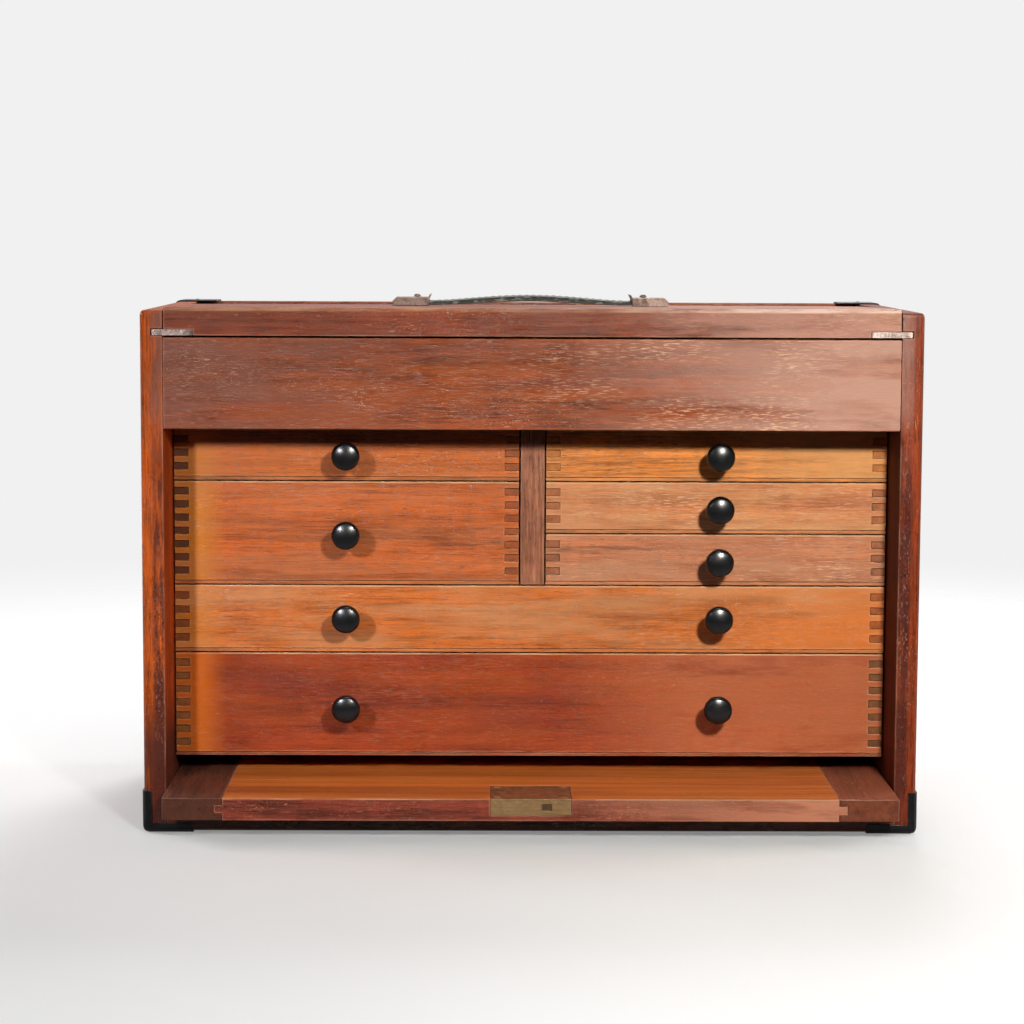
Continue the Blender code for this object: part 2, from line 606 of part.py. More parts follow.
def make_lock(board, origin, y0, z1):
    """A cut box lock: back plate on the panel's inner face, edge plate on its top edge, body between."""
    half = LOCK_W / 2
    plate_z = (z1 - LOCK_PLATE_T, z1)
    edge_y = (y0, y0 + LOCK_PLATE_T)
    body_z = (z1 - LOCK_PLATE_T - LOCK_BODY_H, z1 - LOCK_PLATE_T + 0.2)
    body_y = (y0 + LOCK_PLATE_T - 0.2, y0 + LOCK_BODY_L)
    screws = [(s * (half - SCREW_EDGE), y) for s in (-1, 1)
              for y in (y0 + SCREW_EDGE + 1.5, y0 + LOCK_PLATE_L - SCREW_EDGE)]

    lock = part("lock_case", boxes(((-half, half), (y0, y0 + LOCK_PLATE_L), plate_z)), BRASS, origin)
    boolean(lock, cutter("lock_edge_plate", boxes((
        (-half, half), edge_y, (z1 - LOCK_EDGE_H, z1 - LOCK_PLATE_T / 2)))), "UNION")
    boolean(lock, cutter("lock_body", boxes(((-LOCK_BODY_W / 2, LOCK_BODY_W / 2), body_y, body_z))), "UNION")
    bolt_z = z1 - LOCK_PLATE_T - LOCK_BODY_H / 2
    boolean(lock, cutter("lock_bolt_way", boxes((
        (BOLT_X - BOLT_W / 2 - FIT, BOLT_X + BOLT_W / 2 + FIT), (y0 - CUT, y0 + BOLT_L + 2 * FIT),
        (bolt_z - BOLT_H / 2 - FIT, bolt_z + BOLT_H / 2 + FIT)))))

    def screw_cut(bm, grow):
        for x, y in screws:
            rod(bm, (x, y, z1 + grow), (0, 0, -1), SCREW_SHANK_D + 2 * grow, SCREW_L + 2 * grow, 16)

    def sinks(bm):
        for x, y in screws:
            rod(bm, (x, y, z1 + CUT), (0, 0, -1), SCREW_HEAD_D + 2 * FIT, CUT + LOCK_PLATE_T * 0.6, 20)
    boolean(lock, cutter("lock_screw_sinks", sinks))
    shanks = cutter("lock_screw_holes", lambda bm: screw_cut(bm, FIT))
    boolean(lock, shanks)
    part("lock_bolt", boxes(((BOLT_X - BOLT_W / 2, BOLT_X + BOLT_W / 2), (y0 + FIT, y0 + BOLT_L),
                             (bolt_z - BOLT_H / 2, bolt_z + BOLT_H / 2))), BRASS, (BOLT_X, y0, bolt_z))

    mortise = [((-half - FIT, half + FIT), (y0 - CUT, y0 + LOCK_PLATE_L + FIT),
                (z1 - LOCK_PLATE_T - FIT, z1 + CUT)),
               ((-half - FIT, half + FIT), (y0 - CUT, y0 + LOCK_PLATE_T + FIT),
                (z1 - LOCK_EDGE_H - FIT, z1 - LOCK_PLATE_T - 0.1)),
               ((-LOCK_BODY_W / 2 - FIT, LOCK_BODY_W / 2 + FIT), (y0 - CUT, y0 + LOCK_BODY_L + FIT),
                (body_z[0] - FIT, z1 - LOCK_PLATE_T - 0.1))]
    for word, cut in zip(("plate", "edge", "body"), mortise):
        boolean(board, cutter(f"lock_mortise_{word}", boxes(cut)))
    boolean(board, shanks)
    sink = LOCK_PLATE_T * 0.6
    for i, (x, y) in enumerate(screws):
        head = [(0.0, 0.0), (SCREW_HEAD_D / 2, 0.0), (SCREW_HEAD_D / 2, 0.3 - sink),
                (SCREW_SHANK_D / 2, 0.3 - sink), (SCREW_SHANK_D / 2, -SCREW_L), (0.0, -SCREW_L)]
        revolve(f"lock_screw_{i + 1}", head, BRASS, (x, y, z1), (0, 0, 1), 16)


make_case()
make_caps()
make_lid()
for drawer in CELLS:
    make_drawer(drawer)
make_panel()
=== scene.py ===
"""Looks of the tool chest: worn mahogany, black steel caps, brass lock, bakelite knobs, leather strap."""
import json
import math
import random

import bmesh
import bpy
from mathutils import Matrix, Vector


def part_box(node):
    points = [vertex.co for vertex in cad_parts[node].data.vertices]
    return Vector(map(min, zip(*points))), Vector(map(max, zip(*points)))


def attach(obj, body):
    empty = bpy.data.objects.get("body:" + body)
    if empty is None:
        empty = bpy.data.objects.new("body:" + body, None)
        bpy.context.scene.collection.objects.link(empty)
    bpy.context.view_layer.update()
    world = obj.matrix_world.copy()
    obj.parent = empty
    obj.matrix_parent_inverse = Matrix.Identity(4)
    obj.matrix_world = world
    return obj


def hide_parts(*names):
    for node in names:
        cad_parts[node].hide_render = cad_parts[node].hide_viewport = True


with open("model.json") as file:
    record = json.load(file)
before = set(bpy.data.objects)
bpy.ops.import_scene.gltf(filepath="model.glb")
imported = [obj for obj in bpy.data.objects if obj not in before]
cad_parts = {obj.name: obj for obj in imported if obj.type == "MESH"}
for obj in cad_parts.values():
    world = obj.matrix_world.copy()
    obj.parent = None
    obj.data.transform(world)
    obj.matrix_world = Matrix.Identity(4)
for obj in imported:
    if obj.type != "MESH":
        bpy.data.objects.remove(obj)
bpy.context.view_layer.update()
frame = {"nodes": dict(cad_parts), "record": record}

NODES = frame["nodes"]
BODY_OF = {node: body for body, nodes in frame["record"]["behaviour"]["bodies"].items() for node in nodes}
MM = 0.001

# Camera, from a least-squares fit to the photograph: place in metres, turns in degrees, focal length and
# width of the picture in pixels, and the farthest distance it shows
CAMERA_PLACE = Vector((-0.0280, -1.8759, 0.4032))
CAMERA_YAW, CAMERA_PITCH, CAMERA_ROLL = 0.480, -5.973, 0.252
CAMERA_FOCAL, CAMERA_WIDTH = 2671.5, 1024
CAMERA_FAR = 50.0

# Lamps: place and aim in metres, diameter, watts, beam in degrees, colour. Key and fill stand where the
# shadows in the photograph put its two lamps; the others light the top, the sides and the back.
WHITE = (1.0, 1.0, 1.0)
LAMPS = {
    "key": ((0.306, -1.347, 0.690), (0.20, -0.05, 0.17), 0.11, 1.90, 60, (1.0, 0.975, 0.90)),
    "fill": ((-0.680, -1.541, 0.676), (-0.20, -0.05, 0.16), 0.11, 0.245, 23, (0.97, 0.95, 1.0)),
    "top": ((0.05, -0.50, 1.95), (0.0, -0.05, 0.2), 0.8, 5.0, 180, WHITE),
    "left": ((-1.55, 0.40, 0.75), (-0.26, 0.0, 0.18), 0.6, 11.0, 180, WHITE),
    "right": ((1.55, 0.40, 0.75), (0.26, 0.0, 0.18), 0.6, 11.0, 180, WHITE),
    "back": ((0.25, 1.30, 1.75), (0.0, 0.13, 0.18), 0.7, 24.0, 180, WHITE),
}
AMBIENT = 0.006
BACKDROP = 0.88
ROOM = 0.12                 # share of the backdrop's white in mirrors that face the dim room in front
ROOM_TURN = (-0.4, 0.2)     # directions along y between which the room gives way to the backdrop

# Floor, in metres: half its size and its drop below the chest; its greys, and the one it casts on the chest;
# the places along y between which mirrors stop showing the dim room; and the distances from the middle
# between which its glow grows and it fades out
FLOOR_HALF, FLOOR_DROP = 4.0, 0.3 * MM
FLOOR_DARK, FLOOR_LIGHT, FLOOR_BOUNCE = (0.66, 0.66, 0.66), (0.69, 0.69, 0.69), (0.03, 0.03, 0.03)
FLOOR_ROOM = (-0.5, 0.2)
GLOW_FROM, GLOW_TO, GLOW_NEAR, GLOW_FAR = 0.20, 1.0, 0.22, 0.52
FADE_FROM, FADE_TO = 0.55, 1.5

BEVEL_SAMPLES = 6
RANGE_SOCKETS = ("From Min", "From Max", "To Min", "To Max")


def set_range(node, *numbers):
    for socket, number in zip(RANGE_SOCKETS, numbers):
        node.inputs[socket].default_value = number


class Graph:
    """A material's node tree, with short ways to add and join nodes."""

    def __init__(self, name):
        self.material = bpy.data.materials.new(name)
        self.material.use_nodes = True
        self.tree = self.material.node_tree
        self.shader = self.tree.nodes["Principled BSDF"]
        self.coordinates = self.node("ShaderNodeTexCoord")
        self.space = self.coordinates.outputs["Object"]
        self.axes = None
        self.facing = None

    def node(self, kind, **settings):
        made = self.tree.nodes.new(kind)
        for key, value in settings.items():
            setattr(made, key, value)
        return made

    def feed(self, socket, value):
        if isinstance(value, bpy.types.NodeSocket):
            self.tree.links.new(value, socket)
        else:
            socket.default_value = value

    def split(self, vector):
        made = self.node("ShaderNodeSeparateXYZ")
        self.feed(made.inputs[0], vector)
        return made.outputs

    def place(self, axis):
        """Where a point lies along x, y or z, in metres."""
        self.axes = self.axes or self.split(self.space)
        return self.axes["xyz".index(axis)]

    def faces(self, axis):
        """How far a surface looks along x, y or z, from -1 to 1."""
        self.facing = self.facing or self.split(self.coordinates.outputs["Normal"])
        return self.facing["xyz".index(axis)]

    def math(self, operation, a, b=0.0):
        made = self.node("ShaderNodeMath", operation=operation)
        self.feed(made.inputs[0], a)
        self.feed(made.inputs[1], b)
        return made.outputs[0]

    def times(self, *values):
        result = values[0]
        for value in values[1:]:
            result = self.math("MULTIPLY", result, value)
        return result

    def stretch(self, vector, scale, shift=(0, 0, 0), turn=(0, 0, 0)):
        made = self.node("ShaderNodeMapping")
        self.feed(made.inputs["Vector"], vector)
        made.inputs["Location"].default_value = shift
        made.inputs["Rotation"].default_value = turn
        made.inputs["Scale"].default_value = scale
        return made.outputs[0]

    def noise(self, vector, detail, roughness=0.55, distortion=0.0, scale=1.0):
        made = self.node("ShaderNodeTexNoise")
        self.feed(made.inputs["Vector"], vector)
        made.inputs["Scale"].default_value = scale
        made.inputs["Detail"].default_value = detail
        made.inputs["Roughness"].default_value = roughness
        made.inputs["Distortion"].default_value = distortion
        return made.outputs["Fac"]

    def between(self, value, low, high, to_low=0.0, to_high=1.0):
        """Map a value from low..high onto to_low..to_high, and stop at the ends."""
        made = self.node("ShaderNodeMapRange", clamp=True)
        self.feed(made.inputs["Value"], value)
        set_range(made, low, high, to_low, to_high)
        return made.outputs["Result"]

    def ramp(self, value, *stops):
        made = self.node("ShaderNodeValToRGB")
        self.feed(made.inputs["Fac"], value)
        points = made.color_ramp.elements
        while len(points) < len(stops):
            points.new(0.5)
        for point, (place, colour) in zip(points, stops):
            point.position = place
            point.color = (*colour, 1.0)
        return made.outputs["Color"]

    def mix(self, factor, a, b):
        made = self.node("ShaderNodeMix", data_type="RGBA")
        self.feed(made.inputs["Factor"], factor)
        for socket, colour in (("A", a), ("B", b)):
            joined = isinstance(colour, bpy.types.NodeSocket)
            self.feed(made.inputs[socket], colour if joined else (*colour, 1.0))
        return made.outputs["Result"]

    def edges(self, radius, low, high):
        """About 1 along sharp outer edges, fading over radius in metres."""
        soft = self.node("ShaderNodeBevel", samples=BEVEL_SAMPLES)
        soft.inputs["Radius"].default_value = radius
        geometry = self.node("ShaderNodeNewGeometry")
        dot = self.node("ShaderNodeVectorMath", operation="DOT_PRODUCT")
        self.feed(dot.inputs[0], soft.outputs[0])
        self.feed(dot.inputs[1], geometry.outputs["Normal"])
        return self.between(self.math("SUBTRACT", 1.0, dot.outputs["Value"]), low, high)

    def bump(self, height, strength, distance):
        made = self.node("ShaderNodeBump")
        self.feed(made.inputs["Height"], height)
        made.inputs["Strength"].default_value = strength
        made.inputs["Distance"].default_value = distance
        self.feed(self.shader.inputs["Normal"], made.outputs[0])

    def finish(self, colour, roughness, metallic=0.0, specular=0.5):
        self.feed(self.shader.inputs["Base Color"], colour)
        self.feed(self.shader.inputs["Roughness"], roughness)
        self.feed(self.shader.inputs["Metallic"], metallic)
        self.shader.inputs["Specular IOR Level"].default_value = specular
        return self.material


def tone(colour, by):
    return tuple(c * by for c in colour)


def shades(mid, dark, light):
    return tone(mid, dark), mid, tone(mid, light)


def grained(along, across, detail, roughness=0.55, distortion=0.0, shift=(0, 0, 0)):
    """Noise with about so many features a metre along and across the grain."""
    def noise(g, v):
        return g.noise(g.stretch(v, (along, across, across), shift), detail, roughness, distortion)
    return noise


def marks(noise, low, high, least=0.0):
    """Noise made into marks: least up to low, and the full amount from high on."""
    def made(g, v, amount=1.0):
        return g.between(noise(g, v), low, high, least, amount)
    return made


# The wood's figure, with the share of each noise in it, and the middle and half the width of its range
BROAD, BROAD_SHARE = grained(4.5, 75, 3.0, 0.5, 0.7), 0.38
RIPPLE, RIPPLE_SHARE = grained(38, 16, 3.0, 0.55, 0.8, (2.0, 0.3, 0.6)), 0.15
STREAK, STREAK_SHARE = grained(15, 420, 5.0, 0.65), 0.30
FINE, FINE_SHARE = grained(45, 1000, 2.0, 0.6), 0.32
FIGURE_MIDDLE, FIGURE_REACH = 0.565, 0.15
# Dark clouds, pores and long grain lines
CLOUD = marks(grained(6, 13, 4.0, 0.6, 0.4, (3.1, 0.7, 1.9)), 0.45, 0.72)
PORES = marks(grained(130, 2300, 2.0, 0.6, shift=(0.4, 0.2, 0.9)), 0.58, 0.66)
DASHES = marks(grained(34, 1500, 2.0, 0.5, shift=(8.4, 0.5, 3.7)), 0.62, 0.68)
# Wear: rubbed places, wear and painted highlight along upper arrises, chips, scratches and where they gather,
# flecks and where they gather
RUB = grained(30, 60, 5.0, 0.7, shift=(1.3, 2.2, 0.4))
# breaks in the wear and painted highlight along upper arrises
ARRIS_WEAR_AND_SHEEN = marks(grained(24, 160, 4.0, 0.65, shift=(6.1, 0.8, 3.2)), 0.36, 0.60, 0.1)
CHIPS = marks(grained(210, 900, 1.0, shift=(2.9, 6.1, 0.7)), 0.745, 0.77)
SCRATCH = marks(grained(26, 1300, 1.0, 0.4), 0.70, 0.735)
SCRATCHED = marks(grained(11, 17, 2.0, shift=(5.2, 1.1, 0.8)), 0.47, 0.62)
SCRATCH_TURNS = ((0.10, 0.3), (-0.45, 1.7), (1.05, 2.9))
FLECKS = marks(grained(150, 1700, 2.0, 0.5, shift=(0.9, 4.1, 2.7)), 0.56, 0.65)
FLECKED = marks(grained(8, 20, 3.0, 0.6, shift=(7.3, 1.2, 2.4)), 0.40, 0.60)
# End grain, the streaks of upper faces, and the crazed old polish of the walls' front edges
END_DOTS, END_CLOUD = grained(160, 1300, 3.0, 0.7), grained(60, 170, 4.0, 0.65)
BANDS = grained(2.2, 62, 4.0, 0.6, 0.3, (1.9, 0.4, 5.2))
LINES = grained(22, 900, 3.0, 0.6, shift=(0.6, 2.4, 1.1))
GRIME = grained(30, 200, 4.0, 0.7, shift=(1.7, 0.2, 0.4))
CRAZING = marks(grained(420, 620, 3.0, 0.75, shift=(0.8, 3.9, 0.1)), 0.52, 0.62)
CRAZED = marks(grained(14, 60, 2.0, shift=(4.4, 0.6, 2.0)), 0.40, 0.55)
CRAZE_LIGHT = marks(grained(380, 760, 2.0, 0.6, shift=(3.5, 1.9, 0.6)), 0.60, 0.68)

GRAIN_ORDER = {"x": "xyz", "y": "yxz", "z": "zxy"}
SEED_STEP = (1.37, 0.61, 0.83)
DUST = (0.95, 0.58, 0.37)
END_DARK = (0.045, 0.028, 0.015)
LEFT_ENDS = (-0.205, -0.17)             # x between which the left ends' tone gives way to the other
PLAIN_ENDS, CLEAT_ENDS = (0.6, 0.6), (0.9, 0.9)
WOOD_EDGE = 2.2 * MM
WOOD_SPECULAR = 0.3


def along_grain(g, grain, seed):
    """Object coordinates in metres, grain first, moved so that each board is cut elsewhere in the tree."""
    joined = g.node("ShaderNodeCombineXYZ")
    for i, axis in enumerate(GRAIN_ORDER[grain]):
        g.feed(joined.inputs[i], g.place(axis))
    return g.stretch(joined.outputs[0], (1, 1, 1), tone(SEED_STEP, seed))


def scratches(g, v):
    """Thin straight lines in three directions, gathered in some places."""
    total = None
    for turn, shift in SCRATCH_TURNS:
        turned = g.stretch(v, (1, 1, 1), (shift, shift * 2, 0.1), (0.0, turn, turn))
        line = SCRATCH(g, turned)
        total = line if total is None else g.math("MAXIMUM", total, line)
    return g.times(total, SCRATCHED(g, v))


def end_grain(g, v, mid, ends):
    """Dotted and clouded; ends is how light it is, at the chest's left end and elsewhere."""
    dots = g.math("ADD", g.times(END_DOTS(g, v), 0.5), g.times(END_CLOUD(g, v), 0.5))
    cut = g.ramp(g.between(dots, 0.38, 0.62), (0.0, tone(mid, 0.55)), (1.0, tone(mid, 1.4)))
    return g.mix(g.between(g.place("x"), *LEFT_ENDS, *ends), END_DARK, cut)


def wood(name, grain, seed, tones, worn, *, wear, scratch, stain, gloss=0.28, contrast=1.6, chip=0.5,
         ends=PLAIN_ENDS, matte=None, layers=()):
    """Polished mahogany. tones are the figure's dark, mid and light colours, and worn shows where the polish
    is gone. layers lie over the figure and under the wear. matte gives where the polish is dull."""
    dark, mid, light = tones
    g = Graph(name)
    v = along_grain(g, grain, seed)
    streak = STREAK(g, v)
    slow = g.math("ADD", g.times(BROAD(g, v), BROAD_SHARE), g.times(RIPPLE(g, v), RIPPLE_SHARE))
    quick = g.math("ADD", g.times(streak, STREAK_SHARE), g.times(FINE(g, v), FINE_SHARE))
    reach = FIGURE_REACH / contrast
    figure = g.between(g.math("ADD", slow, quick), FIGURE_MIDDLE - reach, FIGURE_MIDDLE + reach)
    colour = g.ramp(figure, (0.0, dark), (0.5, mid), (1.0, light))
    colour = g.mix(CLOUD(g, v, stain), colour, dark)
    pores = PORES(g, v)
    colour = g.mix(g.times(pores, 0.75), colour, tone(dark, 0.3))
    colour = g.mix(g.times(DASHES(g, v), 0.6), colour, tone(dark, 0.55))
    for layer in layers:
        colour = layer(g, v, colour)

    rub = RUB(g, v)
    colour = g.mix(CHIPS(g, v, chip), colour, worn)
    edge_wear = g.times(g.edges(WOOD_EDGE, 0.015, 0.16), g.between(rub, 0.36, 0.62, 0.1, wear))
    colour = g.mix(edge_wear, colour, worn)
    lines = g.times(scratches(g, v), scratch)
    colour = g.mix(lines, colour, DUST)
    cut_across = g.between(g.math("ABSOLUTE", g.faces(grain)), 0.6, 0.8)
    colour = g.mix(cut_across, colour, end_grain(g, v, mid, ends))
    rough = g.math("ADD", g.between(rub, 0.3, 0.7, gloss - 0.08, gloss + 0.16), g.times(edge_wear, 0.18))
    if matte:
        rough = g.math("MAXIMUM", rough, matte(g))
    height = g.math("SUBTRACT", g.times(streak, 0.35), g.math("ADD", pores, g.times(lines, 0.8)))
    g.bump(height, 0.25, 0.25 * MM)
    return g.finish(colour, rough, 0.0, WOOD_SPECULAR)


def flecks(amount, axis=None, start=0.0, end=1.0, stop=None):
    """A layer of short pale marks along the grain, gathered in patches, from start to end and up to stop."""
    def layer(g, v, below):
        where = FLECKED(g, v)
        if axis:
            where = g.times(where, g.between(g.place(axis), start, end))
        if stop:
            where = g.times(where, g.between(g.place(axis), stop, stop - 0.03, 0.15, 1.0))
        return g.mix(g.times(FLECKS(g, v), where, amount), below, DUST)
    return layer


def tint(axis, start, end, colour, amount, cells=(9, 60, 60), low=0.40, high=0.62):
    """A layer broken up by noise along the grain, which comes in from start to end along an axis. With no
    axis it is everywhere, and start and end only pick its place in the noise."""
    def layer(g, v, below):
        patch = g.noise(g.stretch(v, cells, (start * 50, 3.3, end * 40)), 4.0, 0.65)
        patch = g.between(patch, low, high)
        if axis:
            patch = g.times(patch, g.between(g.place(axis), start, end))
        return g.mix(g.times(patch, amount), below, colour)
    return layer


def painted_left_light(colour, amount):
    """A brighter, golden stretch at a drawer's left end: painted light, the look of the strip that the left
    wall shades from the fill lamp's sheen.
    """
    return tint("x", -0.209, -0.225, colour, amount, low=0.12, high=0.32)


def looks_up(g, amount):
    return g.between(g.faces("z"), 0.6, 0.9, 0.0, amount)


def upper_face(dark, light, amount):
    """A streaked layer on faces that look up."""
    def layer(g, v, below):
        figure = g.math("ADD", g.times(BANDS(g, v), 0.65), g.times(LINES(g, v), 0.35))
        streaked = g.ramp(g.between(figure, 0.38, 0.62), (0.0, dark), (1.0, light))
        return g.mix(looks_up(g, amount), below, streaked)
    return layer


def arris_wear_and_highlight(node, depth, colour, amount, start=None, end=None):
    """A layer of wear and painted highlight along the upper arris of a node's front, where a rounded arris
    would catch the light, down to a depth, from start to end in x.
    """
    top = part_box(node)[1].z

    def layer(g, v, below):
        line = g.times(g.between(g.place("z"), top - depth, top - depth * 0.6),
                       g.between(g.faces("y"), -0.1, -0.4))
        if end:
            line = g.times(line, g.between(g.place("x"), start, end))
        return g.mix(g.times(line, ARRIS_WEAR_AND_SHEEN(g, v, amount)), below, colour)
    return layer


def hidden_face_shade(colour, amount):
    """A layer of painted shade on faces that look down or back, so that little light bounces from them into
    the shade under the fascia.
    """
    def layer(g, v, below):
        away = g.math("MAXIMUM", g.between(g.faces("z"), -0.6, -0.9), g.between(g.faces("y"), 0.6, 0.9))
        return g.mix(g.times(away, amount), below, colour)
    return layer


def inside(g):
    """1 on the face of a wall that looks into the chest."""
    return g.between(g.math("ABSOLUTE", g.place("x")), WALL_IN + 0.7 * MM, WALL_IN + 0.3 * MM)


def inner_face_shade(colour, amount):
    """A layer of painted shade on the face of a wall that looks into the chest."""
    def layer(g, v, below):
        return g.mix(g.times(inside(g), amount), below, colour)
    return layer


def crust(inner, outer, haze):
    """On the band of a wall's front edge between two distances from the middle: haze beside the fascia, and
    below it old dark polish, crazed into specks."""
    def layer(g, v, below):
        off = g.math("ABSOLUTE", g.place("x"))
        z = g.place("z")
        band = g.times(g.between(off, inner - 0.8 * MM, inner + 0.6 * MM),
                       g.between(off, outer + 1.2 * MM, outer - 1.2 * MM))
        band = g.times(band, g.between(g.faces("y"), -0.6, -0.9))
        grime = GRIME(g, v)
        hazy = g.times(band, g.between(z, 0.265, 0.29), g.between(grime, 0.30, 0.52, 0.3, 0.9))
        below = g.mix(hazy, below, haze)
        low = g.between(z, 0.285, 0.235)
        old = g.times(band, low, g.between(grime, 0.36, 0.56, 0.1, 0.85))
        foot = g.times(band, g.between(z, 0.115, 0.085), g.between(z, 0.012, 0.035, 0.3, 0.8))
        below = g.mix(g.math("MAXIMUM", old, foot), below, MAROON)
        where = CRAZED(g, v)
        below = g.mix(g.times(band, low, where, CRAZING(g, v, 0.9)), below, CRAZE_BLACK)
        return g.mix(g.times(band, low, where, CRAZE_LIGHT(g, v, 0.6)), below, CRAZE_PALE)
    return layer


# How dull the upper faces and the inner faces of the walls are
UPPER_DULL, INSIDE_DULL = 0.68, 0.8


def upper_dull(g):
    return looks_up(g, UPPER_DULL)


def wall_dull(g):
    return g.math("MAXIMUM", upper_dull(g), g.times(inside(g), INSIDE_DULL))


PAINT_DARK, PAINT_LIGHT = (0.003, 0.003, 0.004), (0.009, 0.008, 0.009)
RUST_DARK, RUST_LIGHT = (0.09, 0.035, 0.018), (0.20, 0.15, 0.12)


def painted_steel(name, seed):
    """Black japanned steel, rubbed to metal and a little rust on its edges."""
    g = Graph(name)
    v = g.stretch(g.space, (1, 1, 1), (seed, seed * 0.3, seed * 0.7))
    speck = g.noise(v, 6.0, 0.7, scale=420.0)
    patch = g.noise(v, 4.0, 0.6, scale=90.0)
    bare = g.times(g.edges(1.4 * MM, 0.03, 0.25), g.between(speck, 0.46, 0.66))
    paint = g.ramp(patch, (0.3, PAINT_DARK), (0.7, PAINT_LIGHT))
    rust = g.ramp(speck, (0.35, RUST_DARK), (0.65, RUST_LIGHT))
    g.bump(g.math("ADD", speck, patch), 0.25, 0.2 * MM)
    rough = g.between(patch, 0.3, 0.7, 0.26, 0.42)
    return g.finish(g.mix(bare, paint, rust), rough, g.times(bare, 0.6), 0.25)


def metal(name, seed, bright, dull, tarnish, gloss, brushed, tarnish_share):
    """Aged bare metal with brushed lines, scratches and tarnish."""
    g = Graph(name)
    v = g.stretch(g.space, (1, 1, 1), (seed, seed * 0.6, seed * 0.2))
    lines = g.noise(g.stretch(v, brushed), 3.0, 0.6)
    patch = g.noise(v, 5.0, 0.7, 0.3, scale=140.0)
    colour = g.ramp(g.between(lines, 0.3, 0.7), (0.0, dull), (1.0, bright))
    colour = g.mix(g.between(patch, 0.62 - 0.3 * tarnish_share, 0.72, 0.0, 0.85), colour, tarnish)
    turned = g.stretch(v, (1, 1, 1), (0, 0, 0), (0.3, 0.7, 0.5))
    cuts = g.between(g.noise(g.stretch(turned, (60, 60, 1600)), 1.5), 0.68, 0.72)
    colour = g.mix(g.times(cuts, 0.5), colour, bright)
    colour = g.mix(g.times(g.edges(0.9 * MM, 0.02, 0.2), 0.7), colour, bright)
    g.bump(g.math("ADD", g.times(lines, 0.4), g.math("SUBTRACT", patch, cuts)), 0.2, 0.12 * MM)
    return g.finish(colour, g.between(patch, 0.3, 0.7, gloss - 0.06, gloss + 0.22), 0.95)


BAKELITE_DARK, BAKELITE_LIGHT = (0.003, 0.003, 0.004), (0.008, 0.007, 0.008)
BAKELITE_SCUFF = (0.12, 0.11, 0.10)


def bakelite(name):
    """Polished black moulding with fine scuffs and a trace of dust."""
    g = Graph(name)
    scuff = g.noise(g.stretch(g.space, (300, 2000, 700)), 4.0, 0.7)
    patch = g.noise(g.space, 4.0, 0.6, scale=160.0)
    colour = g.ramp(patch, (0.3, BAKELITE_DARK), (0.75, BAKELITE_LIGHT))
    colour = g.mix(g.between(scuff, 0.64, 0.76, 0.0, 0.12), colour, BAKELITE_SCUFF)
    g.bump(scuff, 0.05, 0.1 * MM)
    return g.finish(colour, g.between(patch, 0.3, 0.7, 0.21, 0.28), 0.0, 0.6)


LEATHER_DARK, LEATHER_LIGHT = (0.022, 0.026, 0.020), (0.050, 0.055, 0.044)
LEATHER_RUBBED = (0.30, 0.29, 0.25)
PEBBLES = 900.0


def leather(name):
    """Hard old strap leather with a fine pebble, cracks across the bend and pale rubbed edges."""
    g = Graph(name)
    pebble = g.node("ShaderNodeTexVoronoi", feature="DISTANCE_TO_EDGE")
    g.feed(pebble.inputs["Vector"], g.space)
    pebble.inputs["Scale"].default_value = PEBBLES
    cells = g.between(pebble.outputs["Distance"], 0.0, 0.25)
    patch = g.noise(g.space, 5.0, 0.65, scale=120.0)
    cracks = g.between(g.noise(g.stretch(g.space, (900, 60, 60)), 3.0, 0.6), 0.60, 0.70)
    colour = g.ramp(patch, (0.3, LEATHER_DARK), (0.75, LEATHER_LIGHT))
    colour = g.mix(g.times(cracks, 0.5), colour, tone(LEATHER_DARK, 0.4))
    side = g.between(g.math("ABSOLUTE", g.faces("y")), 0.45, 0.8)
    rubbed = g.between(g.noise(g.stretch(g.space, (230, 500, 700)), 3.0, 0.6), 0.52, 0.62)
    colour = g.mix(g.times(side, rubbed, 0.7), colour, LEATHER_RUBBED)
    g.bump(g.math("SUBTRACT", cells, cracks), 0.35, 0.25 * MM)
    return g.finish(colour, g.between(patch, 0.3, 0.7, 0.42, 0.62), 0.0, 0.35)


THREAD_DARK, THREAD_LIGHT = (0.20, 0.19, 0.14), (0.40, 0.38, 0.29)


def thread(name):
    """Twisted linen thread."""
    g = Graph(name)
    twist = g.noise(g.stretch(g.space, (2500, 2500, 900)), 2.0)
    g.bump(twist, 0.4, 0.1 * MM)
    colour = g.ramp(twist, (0.3, THREAD_DARK), (0.7, THREAD_LIGHT))
    return g.finish(colour, g.between(twist, 0.3, 0.7, 0.7, 0.9))


HAZE = (0.24, 0.078, 0.045)
RIGHT_HAZE = (0.36, 0.165, 0.125)
MAROON = (0.075, 0.014, 0.009)
CRAZE_BLACK, CRAZE_PALE = (0.022, 0.010, 0.012), (0.50, 0.25, 0.19)
ORANGE = (0.44, 0.090, 0.012)
# dark soot of the fascia's streaks; also painted shade on hidden faces and on the right wall's inner face
SOOT_AND_SHADE = (0.060, 0.014, 0.009)
CASE_WORN = (0.60, 0.28, 0.17)
WALL_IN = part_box("fascia")[1].x
CASE_SHADES = (0.38, 1.55)              # the figure's dark and light tones, as shares of the mid colour
